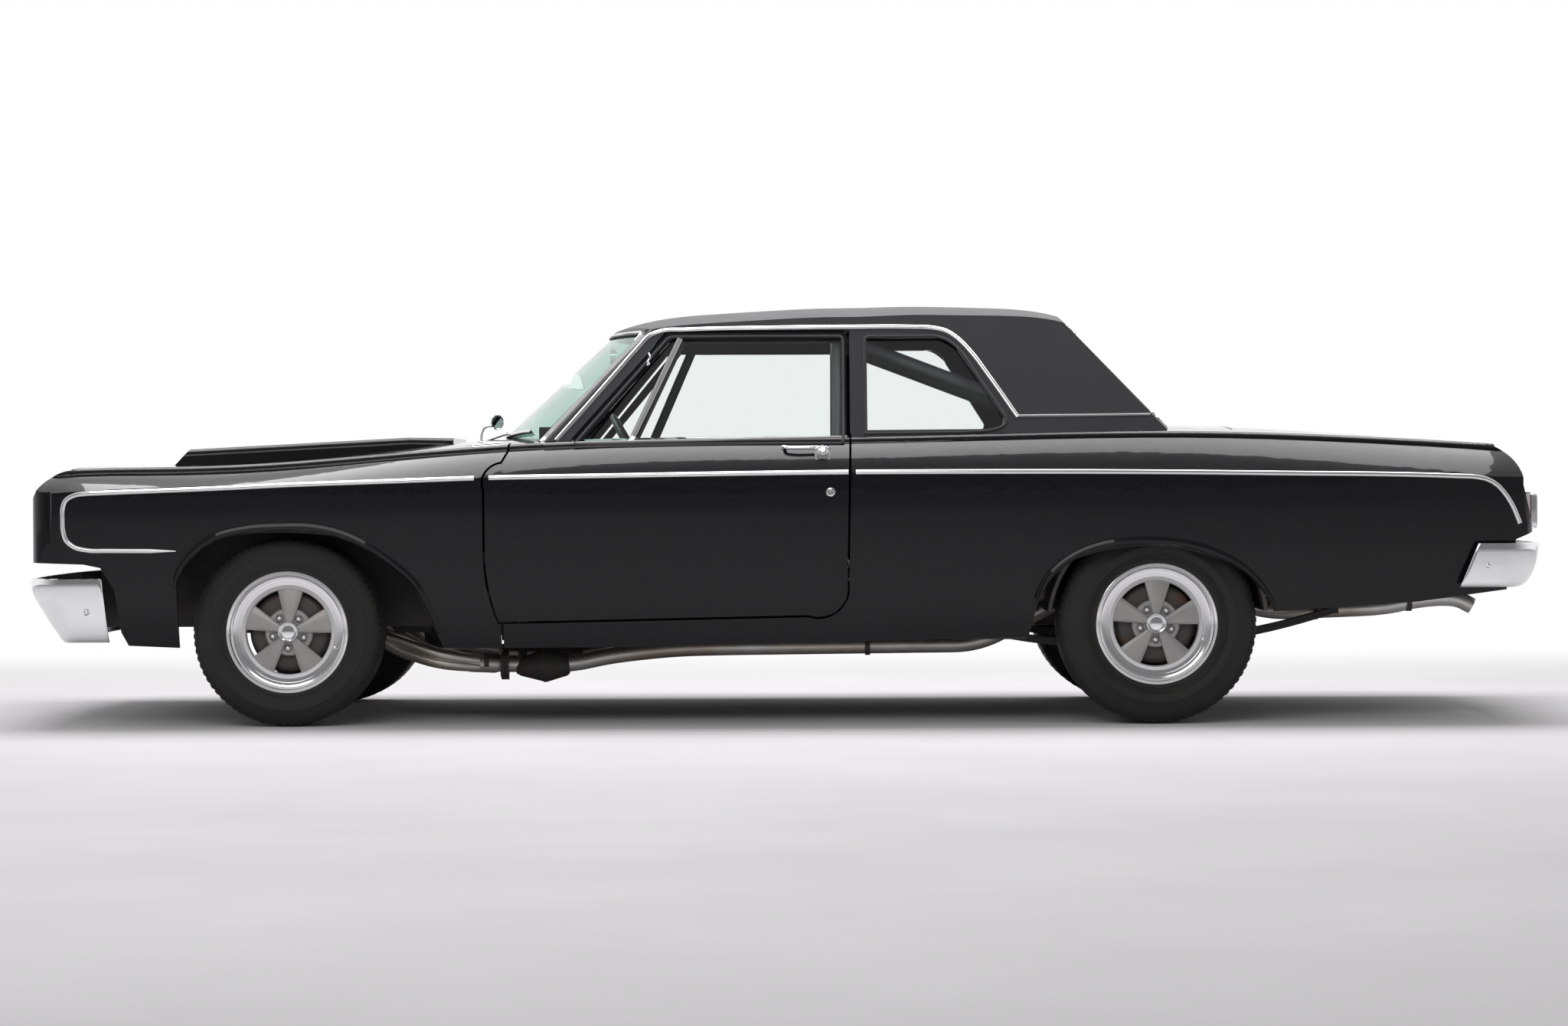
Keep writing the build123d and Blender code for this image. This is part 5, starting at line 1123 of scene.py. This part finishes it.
def make_tail_lamps():
    """A crowned lens in a plated frame, with a rib across its middle."""
    y, z, half_w, half_h = TAIL_LAMP
    stand = facing(on_end([(-y, z)], 1, ["tail_lamps"])[0], (1, 0, 0))
    surround = shaped_plate(oblong(half_w + 6, half_h + 6, 9, 64),
                            [(1, -18), (1, 1), (0.985, 3.5), (0.95, 3.5), (0.93, -1), (0.93, -6)], ends=False)
    lens = shaped_plate(oblong(half_w, half_h, 9, 64),
                        [(1, -20), (1, -3), (0.97, 0.5), (0.8, 2.4), (0.4, 3.6), (0.05, 4)])
    rib = carry([(-half_w + 4, 0, 3.4), (half_w - 4, 0, 3.4)], box_profile(2.5, 1.8, -0.2), (0, 0, 1))
    piece("tail_lamp_lenses", red_lens, both_sides([placed(lens, stand)]), stands_for=["tail_lamps"])
    piece("tail_lamp_frames", chrome, both_sides(all_placed([surround, rib], stand)))


# Seals and cabin rails, behind the gaps round the doors
HEADER_RAIL = [(-480, 1352), (-430, 1362), (-300, 1364), (-60, 1364), (216, 1364)]


def make_cabin_rails():
    """A trim rail inside the roof above each door, which closes the view through the door's gap, and the inner
    half of the vent window's division."""
    rail = [(-34, -5), (-34, 4), (-26, 8), (24, 8), (30, 4), (30, -5)]
    path = on_panels(line_of(HEADER_RAIL, 60), ["door_left", "roof"]) + (0, 46, 0)
    pair("door_header_rail", carry(path, rail, OUTWARDS), window_rubber)
    inner = [(-17, -4), (-17, 3), (-13, 6), (13, 6), (17, 3), (17, -4)]
    post = on_panels(line_of(DIVISION, 20), ["door_left"]) + (6, 19, 0)
    pair("vent_window_post", carry(post, inner, OUTWARDS), window_rubber, "door_side")


# Engine
AIR_CLEANER_X = -1655


def make_engine_dress():
    """The air cleaner, a turned lid over a band, and the hose between the radiator and the engine."""
    stand = Matrix.Translation((AIR_CLEANER_X, 0, 0))
    lid = turned([(0, 903), (7, 903), (9, 898), (60, 898), (66, 896), (150, 897), (170, 893), (177, 887), (177, 882),
                  (171, 880)], 72)
    band = turned([(171, 881), (171, 852), (176, 850), (177, 845), (150, 843)], 72)
    hose = bead([(-2368, -190, 800), (-2290, -190, 806), (-2120, -60, 800), (-1990, -50, 720)], 22, 70, 20)
    piece("air_cleaner_lid", chrome, [placed(lid, stand)])
    piece("air_cleaner_band_and_hose", window_rubber, [placed(band, stand), hose])


for make in (make_bumpers, make_trim, make_arch_lips, make_wheels, make_door_handles, make_vent_latch,
             make_side_mirror, make_wipers, make_screen_mouldings, make_bumper_fittings, make_seats, make_cabin,
             make_exhaust, make_headlamps, make_tail_lamps, make_cabin_rails, make_engine_dress):
    make()
